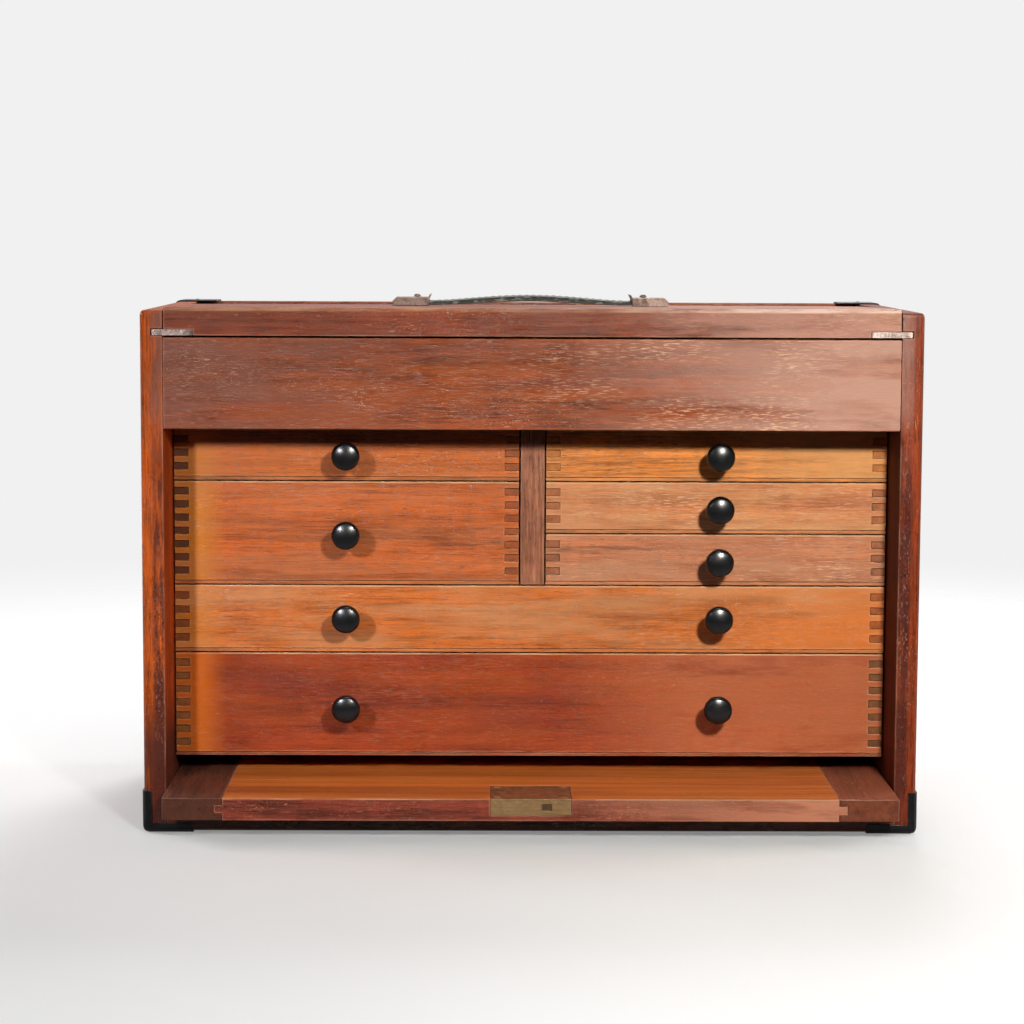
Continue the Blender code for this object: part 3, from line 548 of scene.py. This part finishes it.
# Case boards: grain, seed, the mid colour, and layers of their own
CASE_BOARDS = {
    "left_wall": ("z", 1, (0.58, 0.100, 0.008), (
        crust(WALL_IN, WALL_IN + 8.0 * MM, HAZE),
        tint("z", 0.100, 0.060, (0.10, 0.020, 0.011), 0.9, (14, 150, 150), 0.25, 0.45))),
    "right_wall": ("z", 2, (0.28, 0.042, 0.009), (
        # painted shade: the right wall's inner face, which the key lamp does not reach, made darker
        crust(WALL_IN, WALL_IN + 8.5 * MM, RIGHT_HAZE), inner_face_shade(SOOT_AND_SHADE, 0.7))),
    "back_board": ("x", 3, (0.26, 0.065, 0.022), (flecks(0.2),)),
    "bottom_board": ("x", 4, (0.17, 0.042, 0.016), ()),
    "fascia": ("x", 5, (0.29, 0.058, 0.017), (
        tint(None, 0.1, 0.2, ORANGE, 0.6), tint(None, 0.5, 0.3, SOOT_AND_SHADE, 0.55, (7, 140, 140), 0.52, 0.68),
        tint("x", -0.07, -0.20, HAZE, 0.9, low=0.34, high=0.54), tint("z", 0.312, 0.330, HAZE, 0.5),
        # painted light: the pinkish right part stands in for the key lamp's broad sheen and stronger light
        # there
        tint("x", 0.02, 0.20, (0.62, 0.33, 0.245), 0.9, (6, 45, 45), 0.28, 0.52),
        # the last layer is painted shade on the fascia's faces that look down or back
        flecks(0.15), flecks(1.0, "x", -0.02, 0.09, 0.20), hidden_face_shade(SOOT_AND_SHADE, 0.95))),
    # painted shade on the tray floor's faces that look down or back
    "tray_floor": ("x", 6, (0.24, 0.070, 0.025), (flecks(0.2), hidden_face_shade(SOOT_AND_SHADE, 0.95))),
    "centre_post": ("z", 7, (0.44, 0.165, 0.088), (flecks(0.2),)),
    "lid_board": ("x", 8, (0.24, 0.044, 0.014), (
        # painted light: the pinkish right part stands in for the key lamp's broad sheen and stronger light
        # there
        tint("x", -0.03, 0.2, (0.66, 0.320, 0.230), 0.85, low=0.34, high=0.56),
        tint(None, 0.3, 0.4, HAZE, 0.35), flecks(0.35, "x", 0.0, 0.15),
        # wear and painted highlight along the lid's upper arris, where the rounded arris would catch the
        # light; the near-white stretch at the right is a painted highlight of the key lamp
        arris_wear_and_highlight("lid_board", 3.4 * MM, (0.60, 0.30, 0.15), 0.75),
        arris_wear_and_highlight("lid_board", 3.2 * MM, (0.90, 0.66, 0.54), 0.8, 0.05, 0.12))),
    "panel_board": ("x", 9, (0.27, 0.048, 0.025), (
        # the paler right part is partly the wood's tone, partly painted light of the key lamp on the right
        tint("x", 0.0, 0.18, (0.78, 0.310, 0.180), 0.8, low=0.34, high=0.54),
        upper_face((0.42, 0.085, 0.010), (0.86, 0.245, 0.028), 0.85), flecks(0.12),
        # wear and painted highlight along the panel's upper arris
        arris_wear_and_highlight("panel_board", 1.1 * MM, (0.72, 0.42, 0.24), 0.85))),
    "panel_cleat_left": ("y", 10, (0.125, 0.036, 0.018), ()),
    "panel_cleat_right": ("y", 11, (0.24, 0.062, 0.027), (
        upper_face((0.20, 0.055, 0.027), (0.42, 0.120, 0.060), 0.6),)),
}
FIGURE_CONTRAST = {"left_wall": 1.1}
CASE_CONTRAST = 1.6
# Arrises of the case boards, and of those that are rubbed rounder than the rest
CASE_ARRIS = 0.5 * MM
SOFT = {"lid_board": 2.2 * MM, "panel_board": 0.9 * MM, "left_wall": 0.9 * MM, "right_wall": 0.9 * MM}

# painted light: the golden tone of a drawer's left end, where the left wall shades it from the fill lamp
PAINTED_LEFT_GOLD = (0.64, 0.215, 0.014)
BLOOM = (0.56, 0.20, 0.080)
# worn colour of the drawers, also the painted highlight along the fronts' upper arrises
DRAWER_WEAR_AND_SHEEN = (0.80, 0.47, 0.24)
DRAWER_SHADES = (0.5, 1.35)
# Drawer fronts: seed, the mid colour of each one's wood, and layers of their own
DRAWER_FRONTS = {
    # a1 and a2: the golden left end is painted light, where the left wall shades the fill lamp
    "a1": (21, (0.56, 0.127, 0.019), (painted_left_light(PAINTED_LEFT_GOLD, 0.7), tint(None, 0.2, 0.5, BLOOM, 0.3), flecks(0.12))),
    "a2": (22, (0.53, 0.112, 0.020), (painted_left_light(PAINTED_LEFT_GOLD, 0.8), tint(None, 0.4, 0.1, BLOOM, 0.4), flecks(0.12))),
    "b1": (23, (0.82, 0.260, 0.047), (
        # the paler right part is partly the wood's tone, partly painted light of the key lamp on the right
        tint("x", 0.10, 0.20, (0.80, 0.37, 0.125), 0.8, low=0.3, high=0.5), flecks(0.25))),
    "b2": (24, (0.64, 0.200, 0.062), (
        tint(None, 0.2, 0.8, (0.46, 0.165, 0.085), 0.5), tint(None, 0.6, 0.2, (0.80, 0.40, 0.170), 0.6),
        flecks(0.3), flecks(0.8, "x", 0.05, 0.10, 0.20))),
    "b3": (25, (0.55, 0.180, 0.074), (
        tint(None, 0.7, 0.4, (0.42, 0.150, 0.085), 0.45), tint(None, 0.1, 0.6, (0.62, 0.310, 0.170), 0.55),
        flecks(0.2), flecks(0.5, "x", 0.10, 0.18))),
    "c": (26, (0.58, 0.138, 0.020), (
        # the golden left end is painted light, where the left wall shades the fill lamp; the paler right part
        # is partly the wood's tone, partly painted light of the key lamp
        painted_left_light(PAINTED_LEFT_GOLD, 0.6), tint("x", 0.06, 0.18, (0.76, 0.215, 0.045), 0.8, low=0.3, high=0.5),
        tint(None, 0.7, 0.2, (0.68, 0.31, 0.130), 0.6), flecks(0.2))),
    "d": (27, (0.33, 0.046, 0.012), (
        tint(None, 0.3, 0.9, (0.19, 0.032, 0.018), 0.5), tint(None, 0.9, 0.4, (0.46, 0.085, 0.012), 0.45),
        # the paler right part is partly the wood's tone, partly painted light of the key lamp; the golden
        # left end is painted light, where the left wall shades the fill lamp
        tint("x", 0.02, 0.12, (0.56, 0.158, 0.060), 0.75, low=0.3, high=0.5),
        painted_left_light((0.64, 0.14, 0.008), 0.85), flecks(0.1))),
}
FRONT_ARRIS, FRONT_WEAR_AND_SHEEN = 0.55 * MM, 1.2 * MM
FRONT_SCRATCH = {"d": 0.12}
PLAIN_SCRATCH = 0.4
# How light the finger joints' end grain is at a drawer's left end and elsewhere
FINGERS = {"a1": (0.25, 0.8), "a2": (0.25, 0.8), "c": (0.5, 0.8), "d": (0.6, 0.4)}
PALE_FINGERS = (0.8, 0.8)
SIDES_D = (0.44, 0.140, 0.030)          # the sides of drawer d are of a paler wood than its front
# Sides and bottoms beside their front: shares of its colour, and what is added to its seed
SIDES_SHARE, SHEET_SHARE = 0.8, 0.9
SIDES_SEED, SHEET_SEED = 20, 40

WELD_REACH = 0.00001
ARRIS_SEGMENTS = 2
ARRIS_ANGLE = 50


def dress(node, material):
    mesh = NODES[node].data
    mesh.materials.clear()
    mesh.materials.append(material)


def soften(node, width):
    """Round a CAD node's sharp edges for the eye, with modifiers only."""
    obj = NODES[node]
    weld = obj.modifiers.new("weld", "WELD")
    weld.merge_threshold = WELD_REACH
    bevel = obj.modifiers.new("arris", "BEVEL")
    bevel.width = width
    bevel.segments = ARRIS_SEGMENTS
    bevel.limit_method = "ANGLE"
    bevel.angle_limit = math.radians(ARRIS_ANGLE)


def dress_case():
    for node, (grain, seed, mid, layers) in CASE_BOARDS.items():
        dress(node, wood(
            "wood_" + node, grain, seed, shades(mid, *CASE_SHADES), CASE_WORN,
            wear=0.9, scratch=0.35, stain=0.5, contrast=FIGURE_CONTRAST.get(node, CASE_CONTRAST),
            ends=CLEAT_ENDS if "cleat" in node else PLAIN_ENDS,
            matte=wall_dull if node.endswith("_wall") else upper_dull, layers=layers))
        soften(node, SOFT.get(node, CASE_ARRIS))


def dress_drawers():
    for name, (seed, mid, layers) in DRAWER_FRONTS.items():
        front = f"drawer_{name}_front"
        tones = shades(mid, *DRAWER_SHADES)
        # wear and painted highlight along the front's upper arris, where the rounded arris would catch the
        # key lamp
        arris_wear_and_sheen = arris_wear_and_highlight(front, FRONT_WEAR_AND_SHEEN, DRAWER_WEAR_AND_SHEEN, 0.9)
        dress(front, wood(
            f"wood_front_{name}", "x", seed, tones, DRAWER_WEAR_AND_SHEEN,
            wear=0.9, scratch=FRONT_SCRATCH.get(name, PLAIN_SCRATCH), stain=0.14, contrast=1.5, chip=0.25,
            layers=layers + (arris_wear_and_sheen,)))
        soften(front, FRONT_ARRIS)
        sides = SIDES_D if name == "d" else tone(mid, SIDES_SHARE)
        dress(f"drawer_{name}_box", wood(
            f"wood_box_{name}", "y", seed + SIDES_SEED, shades(sides, *DRAWER_SHADES), DRAWER_WEAR_AND_SHEEN,
            wear=0.3, scratch=0.2, stain=0.3, gloss=0.46, chip=0.2, ends=FINGERS.get(name, PALE_FINGERS)))
        sheet = tuple(tone(t, SHEET_SHARE) for t in tones)
        dress(f"drawer_{name}_bottom", wood(
            f"wood_bottom_{name}", "x", seed + SHEET_SEED, sheet, DRAWER_WEAR_AND_SHEEN,
            wear=0.5, scratch=0.2, stain=0.2, gloss=0.48, chip=0.2))


# Metals: seed, bright, dull and tarnished colours, roughness, brushed lines along an axis, share of tarnish
ON_X, ON_Y = (40, 900, 900), (900, 40, 900)
METALS = {
    "bar_steel": (2.0, (0.62, 0.50, 0.45), (0.20, 0.14, 0.12), (0.06, 0.034, 0.025), 0.42, ON_Y, 0.75),
    "plated_steel": (3.0, (0.30, 0.215, 0.18), (0.14, 0.095, 0.078), (0.07, 0.042, 0.03), 0.40, ON_Y, 0.5),
    "lock_brass": (4.0, (0.58, 0.360, 0.165), (0.34, 0.200, 0.092), (0.15, 0.088, 0.042), 0.38, ON_X, 0.55),
    "bolt_brass": (5.0, (0.22, 0.135, 0.070), (0.12, 0.070, 0.036), (0.05, 0.028, 0.015), 0.42, ON_X, 0.5),
    "screw_brass": (6.0, (0.88, 0.66, 0.46), (0.52, 0.36, 0.22), (0.24, 0.150, 0.085), 0.30, ON_X, 0.2),
}
# Metal nodes: material, and the width of the softened arris if there is one
METAL_NODES = {
    "lid_bar_left": ("bar_steel", 0.4 * MM),
    "lid_bar_right": ("bar_steel", 0.4 * MM),
    "keeper_left": ("plated_steel", 0.35 * MM),
    "keeper_right": ("plated_steel", 0.35 * MM),
    "rivet_left": ("plated_steel", None),
    "rivet_right": ("plated_steel", None),
    "lock_case": ("lock_brass", 0.25 * MM),
    "lock_bolt": ("bolt_brass", None),
}
CAP_ARRIS, CAP_SEED = 0.25 * MM, 1.0


def dress_metals():
    """Dress the metal nodes, and give the materials of the cap nails and of the lock's screws."""
    black = painted_steel("japanned_steel", CAP_SEED)
    for node in NODES:
        if node.startswith("cap_"):
            dress(node, black)
            soften(node, CAP_ARRIS)
    made = {name: metal(name, *look) for name, look in METALS.items()}
    for node, (name, arris) in METAL_NODES.items():
        dress(node, made[name])
        if arris:
            soften(node, arris)
    return black, made["screw_brass"]


def add_piece(name, bm, material, body, smooth_angle):
    bmesh.ops.recalc_face_normals(bm, faces=bm.faces)
    mesh = bpy.data.meshes.new(name)
    bm.to_mesh(mesh)
    bm.free()
    mesh.materials.append(material)
    for polygon in mesh.polygons:
        polygon.use_smooth = True
    mesh.set_sharp_from_angle(angle=math.radians(smooth_angle))
    obj = bpy.data.objects.new(name, mesh)
    bpy.context.scene.collection.objects.link(obj)
    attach(obj, body)
    return obj


def join(bm, rings, closed):
    """Faces between rings of points; a ring of one point is a pole."""
    for a, b in zip(rings, rings[1:]):
        count = max(len(a), len(b))
        for k in range(count if closed else count - 1):
            n = (k + 1) % count
            corners = [a[k % len(a)], a[n % len(a)], b[n % len(b)], b[k % len(b)]]
            bm.faces.new([c for i, c in enumerate(corners) if c not in corners[:i]])


POLE = 1e-7                 # a radius below this is a single point


def lathe(bm, profile, base, axis, steps):
    """Turn (radius, distance) points about an axis through base; a profile that starts or ends at radius 0 is
    closed there."""
    turn = Vector((0, 0, 1)).rotation_difference(Vector(axis)).to_matrix()
    angles = [math.tau * k / steps for k in range(steps)]
    rings = []
    for radius, distance in profile:
        points = [Vector((radius * math.cos(a), radius * math.sin(a), distance)) for a in angles]
        if radius < POLE:
            points = [Vector((0, 0, distance))]
        rings.append([bm.verts.new(base + turn @ point) for point in points])
    join(bm, rings, True)


# Knobs, in metres: how far the widest ring lies behind the CAD knob's tip, the curve under it, the foot, the
# gap at the drawer front, the round of the rim and the curve of the face; then the neck and the stem as
# shares of the radius, and the flare from neck to stem
KNOB_WIDEST, KNOB_UNDER, KNOB_FOOT, KNOB_GAP = 5.3 * MM, 3.4 * MM, 1.4 * MM, 0.3 * MM
KNOB_RIM, KNOB_FACE = 3.0 * MM, 25.0 * MM
NECK_SHARE, STEM_SHARE = 0.435, 0.545
FLARE_SHARE, FLARE_POWER = 0.96, 1.6
FOOT_SHARE = 0.7
FACE_STEPS, RIM_STEPS, UNDER_STEPS, FLARE_STEPS, KNOB_STEPS = 10, 12, 20, 8, 64


def knob_profile(length, radius):
    """(radius, distance) points of a turned knob, from the middle of its face to the middle of its foot."""
    wide = length - KNOB_WIDEST
    neck, stem = radius * NECK_SHARE, radius * STEM_SHARE
    flat = math.asin((radius - KNOB_RIM) / (KNOB_FACE - KNOB_RIM))
    centre = wide - (KNOB_FACE - KNOB_RIM) * math.cos(flat)
    face = [flat * k / FACE_STEPS for k in range(FACE_STEPS + 1)]
    rim = [flat + (math.pi / 2 - flat) * k / RIM_STEPS for k in range(1, RIM_STEPS + 1)]
    under = [math.pi / 2 * k / UNDER_STEPS for k in range(1, UNDER_STEPS + 1, 2)]
    flare = [k / FLARE_STEPS for k in range(1, FLARE_STEPS + 1)]
    waist = wide - KNOB_UNDER - KNOB_FOOT
    spread = (stem - neck) * FLARE_SHARE
    profile = [(KNOB_FACE * math.sin(a), centre + KNOB_FACE * math.cos(a)) for a in face]
    profile += [(radius - KNOB_RIM + KNOB_RIM * math.sin(a), wide + KNOB_RIM * math.cos(a)) for a in rim]
    profile += [(neck + (radius - neck) * math.cos(a), wide - KNOB_UNDER * math.sin(a)) for a in under]
    profile += [(neck + spread * s ** FLARE_POWER, KNOB_FOOT + waist * (1 - s)) for s in flare]
    return profile + [(stem, KNOB_FOOT * FOOT_SHARE), (stem, 0.0), (0.0, 0.0)]


def make_knobs():
    black = bakelite("knob_bakelite")
    for node in sorted(n for n in NODES if n.startswith("knob_")):
        low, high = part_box(node)
        drawer = BODY_OF[node]
        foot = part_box(drawer + "_front")[0].y - KNOB_GAP
        profile = knob_profile(foot - low.y, (high.x - low.x) / 2)
        base = Vector(((low.x + high.x) / 2, foot, (low.z + high.z) / 2))
        bm = bmesh.new()
        lathe(bm, profile, base, (0, -1, 0), KNOB_STEPS)
        piece = add_piece("turned_" + node, bm, black, drawer, 60)
        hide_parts(node)


# Strap: thickness in the middle and at its edges, rise of the arch and swell of its middle, how far inside
# the keepers it lies flat, and the groove along its sides
STRAP_T, STRAP_EDGE_T = 3.2 * MM, 2.3 * MM
STRAP_RISE, STRAP_SWELL, STRAP_FLAT = 2.6 * MM, 1.1 * MM, 5 * MM
ARCH_POWER, CROWN_POWER = 0.7, 4
LIP, LIP_SHARE, GROOVE_SHARE = 0.35 * MM, 0.998, 0.985
STRAP_STEPS, STRAP_ACROSS = 96, 6
# Stitches: length, pitch, thickness, and distance from the edge and from the keepers; how far they stray, in
# millimetres, how far they stand out, and the radius of their tips
STITCH_L, STITCH_PITCH, STITCH_D = 3.0 * MM, 4.6 * MM, 0.55 * MM
STITCH_INSET, STITCH_END = 2.6 * MM, 3 * MM
STITCH_STRAY, STITCH_LIFT, STITCH_TIP = 0.12, 0.05 * MM, 0.02 * MM
STITCH_ROWS, STITCH_SIDES, STITCH_SEED = 7, 8, 5


def make_strap():
    low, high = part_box("handle_strap")
    middle = (low + high) / 2
    reach, half_w = (high.x - low.x) / 2, (high.y - low.y) / 2
    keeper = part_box("keeper_right")[0].x - middle.x
    run = keeper - STRAP_FLAT

    def arch(x):
        """1 in the middle of the strap, 0 where it lies flat."""
        return (0.5 + 0.5 * math.cos(math.pi * min(abs(x) / run, 1.0))) ** ARCH_POWER

    def height(x):
        """Height of the middle of the strap's thickness."""
        return low.z + STRAP_T / 2 + (STRAP_RISE + STRAP_SWELL / 2) * arch(x)

    def top(x, across):
        """Height of the upper face, which is crowned across its width."""
        crown = 1 - (abs(across) / half_w) ** CROWN_POWER
        return height(x) + (STRAP_EDGE_T + STRAP_SWELL * arch(x)) / 2 + (STRAP_T - STRAP_EDGE_T) / 2 * crown

    bm = bmesh.new()
    rings = []
    across = range(-STRAP_ACROSS, STRAP_ACROSS + 1)
    section = [half_w * math.sin(math.pi / 2 * k / STRAP_ACROSS) for k in across]
    lips = [(half_w * LIP_SHARE, LIP), (half_w * GROOVE_SHARE, 0.0), (half_w * LIP_SHARE, -LIP)]
    for i in range(STRAP_STEPS + 1):
        x = -reach + 2 * reach * i / STRAP_STEPS
        z = height(x)
        ring = [(y, top(x, y)) for y in section]
        ring += [(y, z + up) for y, up in lips]
        ring += [(y, 2 * z - top(x, y)) for y in reversed(section)]
        ring += [(-y, z - up) for y, up in lips]
        rings.append([bm.verts.new((middle.x + x, middle.y + y, q)) for y, q in ring])
    join(bm, rings, True)
    for end in (rings[0], rings[-1]):
        bm.faces.new(end)
    strap = add_piece("strap", bm, leather("strap_leather"), "lid", 50)
    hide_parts("handle_strap")

    bm = bmesh.new()
    mouth = keeper - STITCH_END
    count = int(2 * mouth / STITCH_PITCH)
    around = [math.tau * m / STITCH_SIDES for m in range(STITCH_SIDES)]
    rng = random.Random(STITCH_SEED)
    for side in (-1, 1):
        for k in range(count):
            x = -mouth + (k + 0.5) * 2 * mouth / count
            y = side * (half_w - STITCH_INSET) + rng.uniform(-STITCH_STRAY, STITCH_STRAY) * MM
            rows = []
            for j in range(STITCH_ROWS):
                s = -1 + 2 * j / (STITCH_ROWS - 1)
                r = STITCH_D / 2 * math.sqrt(max(0.0, 1 - s * s)) + STITCH_TIP
                at = x + s * STITCH_L / 2
                z = top(at, y) + STITCH_LIFT
                points = [(at, y + r * math.cos(a), z + r * math.sin(a)) for a in around]
                rows.append([bm.verts.new((middle.x + p, middle.y + q, h)) for p, q, h in points])
            join(bm, rows, True)
            for end in (rows[0], rows[-1]):
                bm.faces.new(end)
    add_piece("strap_stitches", bm, thread("strap_thread"), "lid", 60)


# Nails of the corner caps: radius, height, distance from the cap's corner, depth of the seat, and the dome as
# shares of radius and height
NAIL_R, NAIL_H, NAIL_IN, NAIL_SEAT = 1.9 * MM, 0.6 * MM, 15 * MM, 0.1 * MM
NAIL_DOME = ((0.0, 1.0), (0.45, 0.9), (0.8, 0.58), (1.0, 0.0))
NAIL_STEPS = 16


def make_nails(material):
    """A domed nail on each outer side of each cap, and on the top of the upper ones, seated on the face."""
    bm = bmesh.new()
    dome = [(NAIL_R * out, NAIL_H * up) for out, up in NAIL_DOME] + [(0.0, -NAIL_SEAT)]
    for node in sorted(n for n in NODES if n.startswith("cap_")):
        low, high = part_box(node)
        right, upper = low.x > 0, "top" in node
        y = high.y - NAIL_IN if upper or "back" in node else low.y + NAIL_IN
        z = high.z - NAIL_IN if upper else low.z + NAIL_IN
        side = Vector((high.x if right else low.x, y, z))
        lathe(bm, dome, side, (1 if right else -1, 0, 0), NAIL_STEPS)
        if upper:
            flat = Vector((high.x - NAIL_IN if right else low.x + NAIL_IN, y, high.z))
            lathe(bm, dome, flat, (0, 0, 1), NAIL_STEPS)
    add_piece("cap_nails", bm, material, "case", 70)


# Slotted heads of the lock's screws: the slot, the bevel of the rim, the floor under the slot, and the shank
# and the rim's top as shares of the radius
SLOT_W, SLOT_DEPTH, SCREW_BEVEL, SCREW_FLOOR = 0.8 * MM, 0.7 * MM, 0.12 * MM, 0.1 * MM
SHANK_SHARE, RIM_SHARE = 0.45, 0.94
SCREW_COUNT, SCREW_SEED, ARC_STEPS, SCREW_STEPS = 4, 11, 14, 28


def make_screws(material):
    rng = random.Random(SCREW_SEED)
    for i in range(1, SCREW_COUNT + 1):
        node = f"lock_screw_{i}"
        low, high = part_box(node)
        centre = Vector(((low.x + high.x) / 2, (low.y + high.y) / 2, high.z))
        radius, turn = (high.x - low.x) / 2, rng.uniform(0, math.pi)
        shank, tip, floor = radius * SHANK_SHARE, low.z - high.z, -SLOT_DEPTH - SCREW_FLOOR
        start = math.asin(SLOT_W / 2 / radius)
        arc = [start + (math.pi - 2 * start) * k / ARC_STEPS for k in range(ARC_STEPS + 1)]
        levels = ((radius * RIM_SHARE, 0.0), (radius, -SCREW_BEVEL), (radius, -SLOT_DEPTH))
        bm = bmesh.new()
        for half in (0, math.pi):
            angles = [a + half + turn for a in arc]
            rows = [[bm.verts.new(centre + Vector((r * math.cos(a), r * math.sin(a), z))) for a in angles]
                    for r, z in levels]
            join(bm, rows, False)
            bm.faces.new(rows[0])
            bm.faces.new(rows[-1])
            for a, b in zip(rows, rows[1:]):
                bm.faces.new((a[0], a[-1], b[-1], b[0]))
        head = [(0.0, -SLOT_DEPTH), (radius, -SLOT_DEPTH), (radius, floor)]
        lathe(bm, head + [(shank, floor), (shank, tip), (0.0, tip)], centre, (0, 0, 1), SCREW_STEPS)
        piece = add_piece("slotted_" + node, bm, material, "front_panel", 40)
        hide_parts(node)


def make_camera():
    yaw, pitch, roll = (math.radians(a) for a in (CAMERA_YAW, CAMERA_PITCH, CAMERA_ROLL))
    ahead = Vector((math.sin(yaw) * math.cos(pitch), math.cos(yaw) * math.cos(pitch), math.sin(pitch)))
    right = Vector((math.cos(yaw), -math.sin(yaw), 0.0))
    up = right.cross(ahead)
    side = right * math.cos(roll) + up * math.sin(roll)
    top = up * math.cos(roll) - right * math.sin(roll)
    data = bpy.data.cameras.new("camera")
    data.sensor_fit = "HORIZONTAL"
    data.lens = data.sensor_width * CAMERA_FOCAL / CAMERA_WIDTH
    data.clip_end = CAMERA_FAR
    camera = bpy.data.objects.new("camera", data)
    camera.matrix_world = Matrix((side, top, -ahead)).transposed().to_4x4()
    camera.location = CAMERA_PLACE
    bpy.context.scene.collection.objects.link(camera)
    bpy.context.scene.camera = camera


def make_lamps():
    """Soft round lamps."""
    for name, (place, aim, size, power, beam, colour) in LAMPS.items():
        data = bpy.data.lights.new(name, "AREA")
        data.shape = "DISK"
        data.size = size
        data.energy = power
        data.spread = math.radians(beam)
        data.color = colour
        lamp = bpy.data.objects.new(name, data)
        lamp.location = place
        lamp.rotation_euler = (Vector(place) - Vector(aim)).to_track_quat("Z", "Y").to_euler()
        bpy.context.scene.collection.objects.link(lamp)


def make_floor():
    """A pale floor that glows a little where it is seen, more with distance, and fades into the backdrop."""
    mesh = bpy.data.meshes.new("floor")
    bm = bmesh.new()
    bmesh.ops.create_grid(bm, x_segments=1, y_segments=1, size=FLOOR_HALF)
    bm.to_mesh(mesh)
    bm.free()
    floor = bpy.data.objects.new("floor", mesh)
    floor.location = (0, 0, -FLOOR_DROP)
    g = Graph("floor_paint")
    paper = g.ramp(g.noise(g.space, 3.0, 0.5, scale=3.0), (0.3, FLOOR_DARK), (0.7, FLOOR_LIGHT))
    path = g.node("ShaderNodeLightPath")
    mirrored = g.math("MAXIMUM", path.outputs["Is Glossy Ray"], path.outputs["Is Transmission Ray"])
    mirrored = g.times(mirrored, g.between(g.place("y"), *FLOOR_ROOM, ROOM, 1.0))
    seen = g.math("MAXIMUM", path.outputs["Is Camera Ray"], mirrored)
    g.finish(g.mix(seen, FLOOR_BOUNCE, paper), 0.85, 0.0, 0.2)
    g.shader.inputs["Emission Color"].default_value = (*WHITE, 1.0)
    measure = g.node("ShaderNodeVectorMath", operation="LENGTH")
    g.feed(measure.inputs[0], g.space)
    far = measure.outputs["Value"]
    glow = g.between(far, GLOW_FROM, GLOW_TO, GLOW_NEAR, GLOW_FAR)
    g.feed(g.shader.inputs["Emission Strength"], g.times(seen, glow))
    fade = g.node("ShaderNodeMixShader")
    clear = g.node("ShaderNodeBsdfTransparent")
    g.feed(fade.inputs[0], g.between(far, FADE_FROM, FADE_TO))
    g.feed(fade.inputs[1], g.shader.outputs[0])
    g.feed(fade.inputs[2], clear.outputs[0])
    g.feed(g.tree.nodes["Material Output"].inputs["Surface"], fade.outputs[0])
    mesh.materials.append(g.material)
    bpy.context.scene.collection.objects.link(floor)


def seen_rays(tree, path):
    """1 for rays that show the background: straight from the camera, mirrored, or through glass."""
    total = path.outputs["Is Camera Ray"]
    for name in ("Is Glossy Ray", "Is Transmission Ray"):
        either = tree.nodes.new("ShaderNodeMath")
        either.operation = "MAXIMUM"
        tree.links.new(total, either.inputs[0])
        tree.links.new(path.outputs[name], either.inputs[1])
        total = either.outputs[0]
    return total


def make_world():
    """A white backdrop where it is seen, dim in mirrors that face the room, and a little light all round."""
    world = bpy.data.worlds.new("studio")
    bpy.context.scene.world = world
    world.use_nodes = True
    tree = world.node_tree
    fill = tree.nodes["Background"]
    fill.inputs["Color"].default_value = (*WHITE, 1.0)
    fill.inputs["Strength"].default_value = AMBIENT
    seen = tree.nodes.new("ShaderNodeBackground")
    seen.inputs["Color"].default_value = (*WHITE, 1.0)
    coordinates = tree.nodes.new("ShaderNodeTexCoord")
    direction = tree.nodes.new("ShaderNodeSeparateXYZ")
    tree.links.new(coordinates.outputs["Generated"], direction.inputs[0])
    behind = tree.nodes.new("ShaderNodeMapRange")
    tree.links.new(direction.outputs["Y"], behind.inputs["Value"])
    set_range(behind, *ROOM_TURN, BACKDROP * ROOM, BACKDROP)
    path = tree.nodes.new("ShaderNodeLightPath")
    white = tree.nodes.new("ShaderNodeMix")
    tree.links.new(path.outputs["Is Camera Ray"], white.inputs["Factor"])
    tree.links.new(behind.outputs["Result"], white.inputs["A"])
    white.inputs["B"].default_value = BACKDROP
    tree.links.new(white.outputs["Result"], seen.inputs["Strength"])
    mix = tree.nodes.new("ShaderNodeMixShader")
    tree.links.new(seen_rays(tree, path), mix.inputs[0])
    tree.links.new(fill.outputs[0], mix.inputs[1])
    tree.links.new(seen.outputs[0], mix.inputs[2])
    tree.links.new(mix.outputs[0], tree.nodes["World Output"].inputs["Surface"])


dress_case()
dress_drawers()
cap_black, screw_brass = dress_metals()
make_knobs()
make_strap()
make_nails(cap_black)
make_screws(screw_brass)
make_camera()
make_lamps()
make_floor()
make_world()
bpy.context.scene.view_settings.view_transform = "Standard"
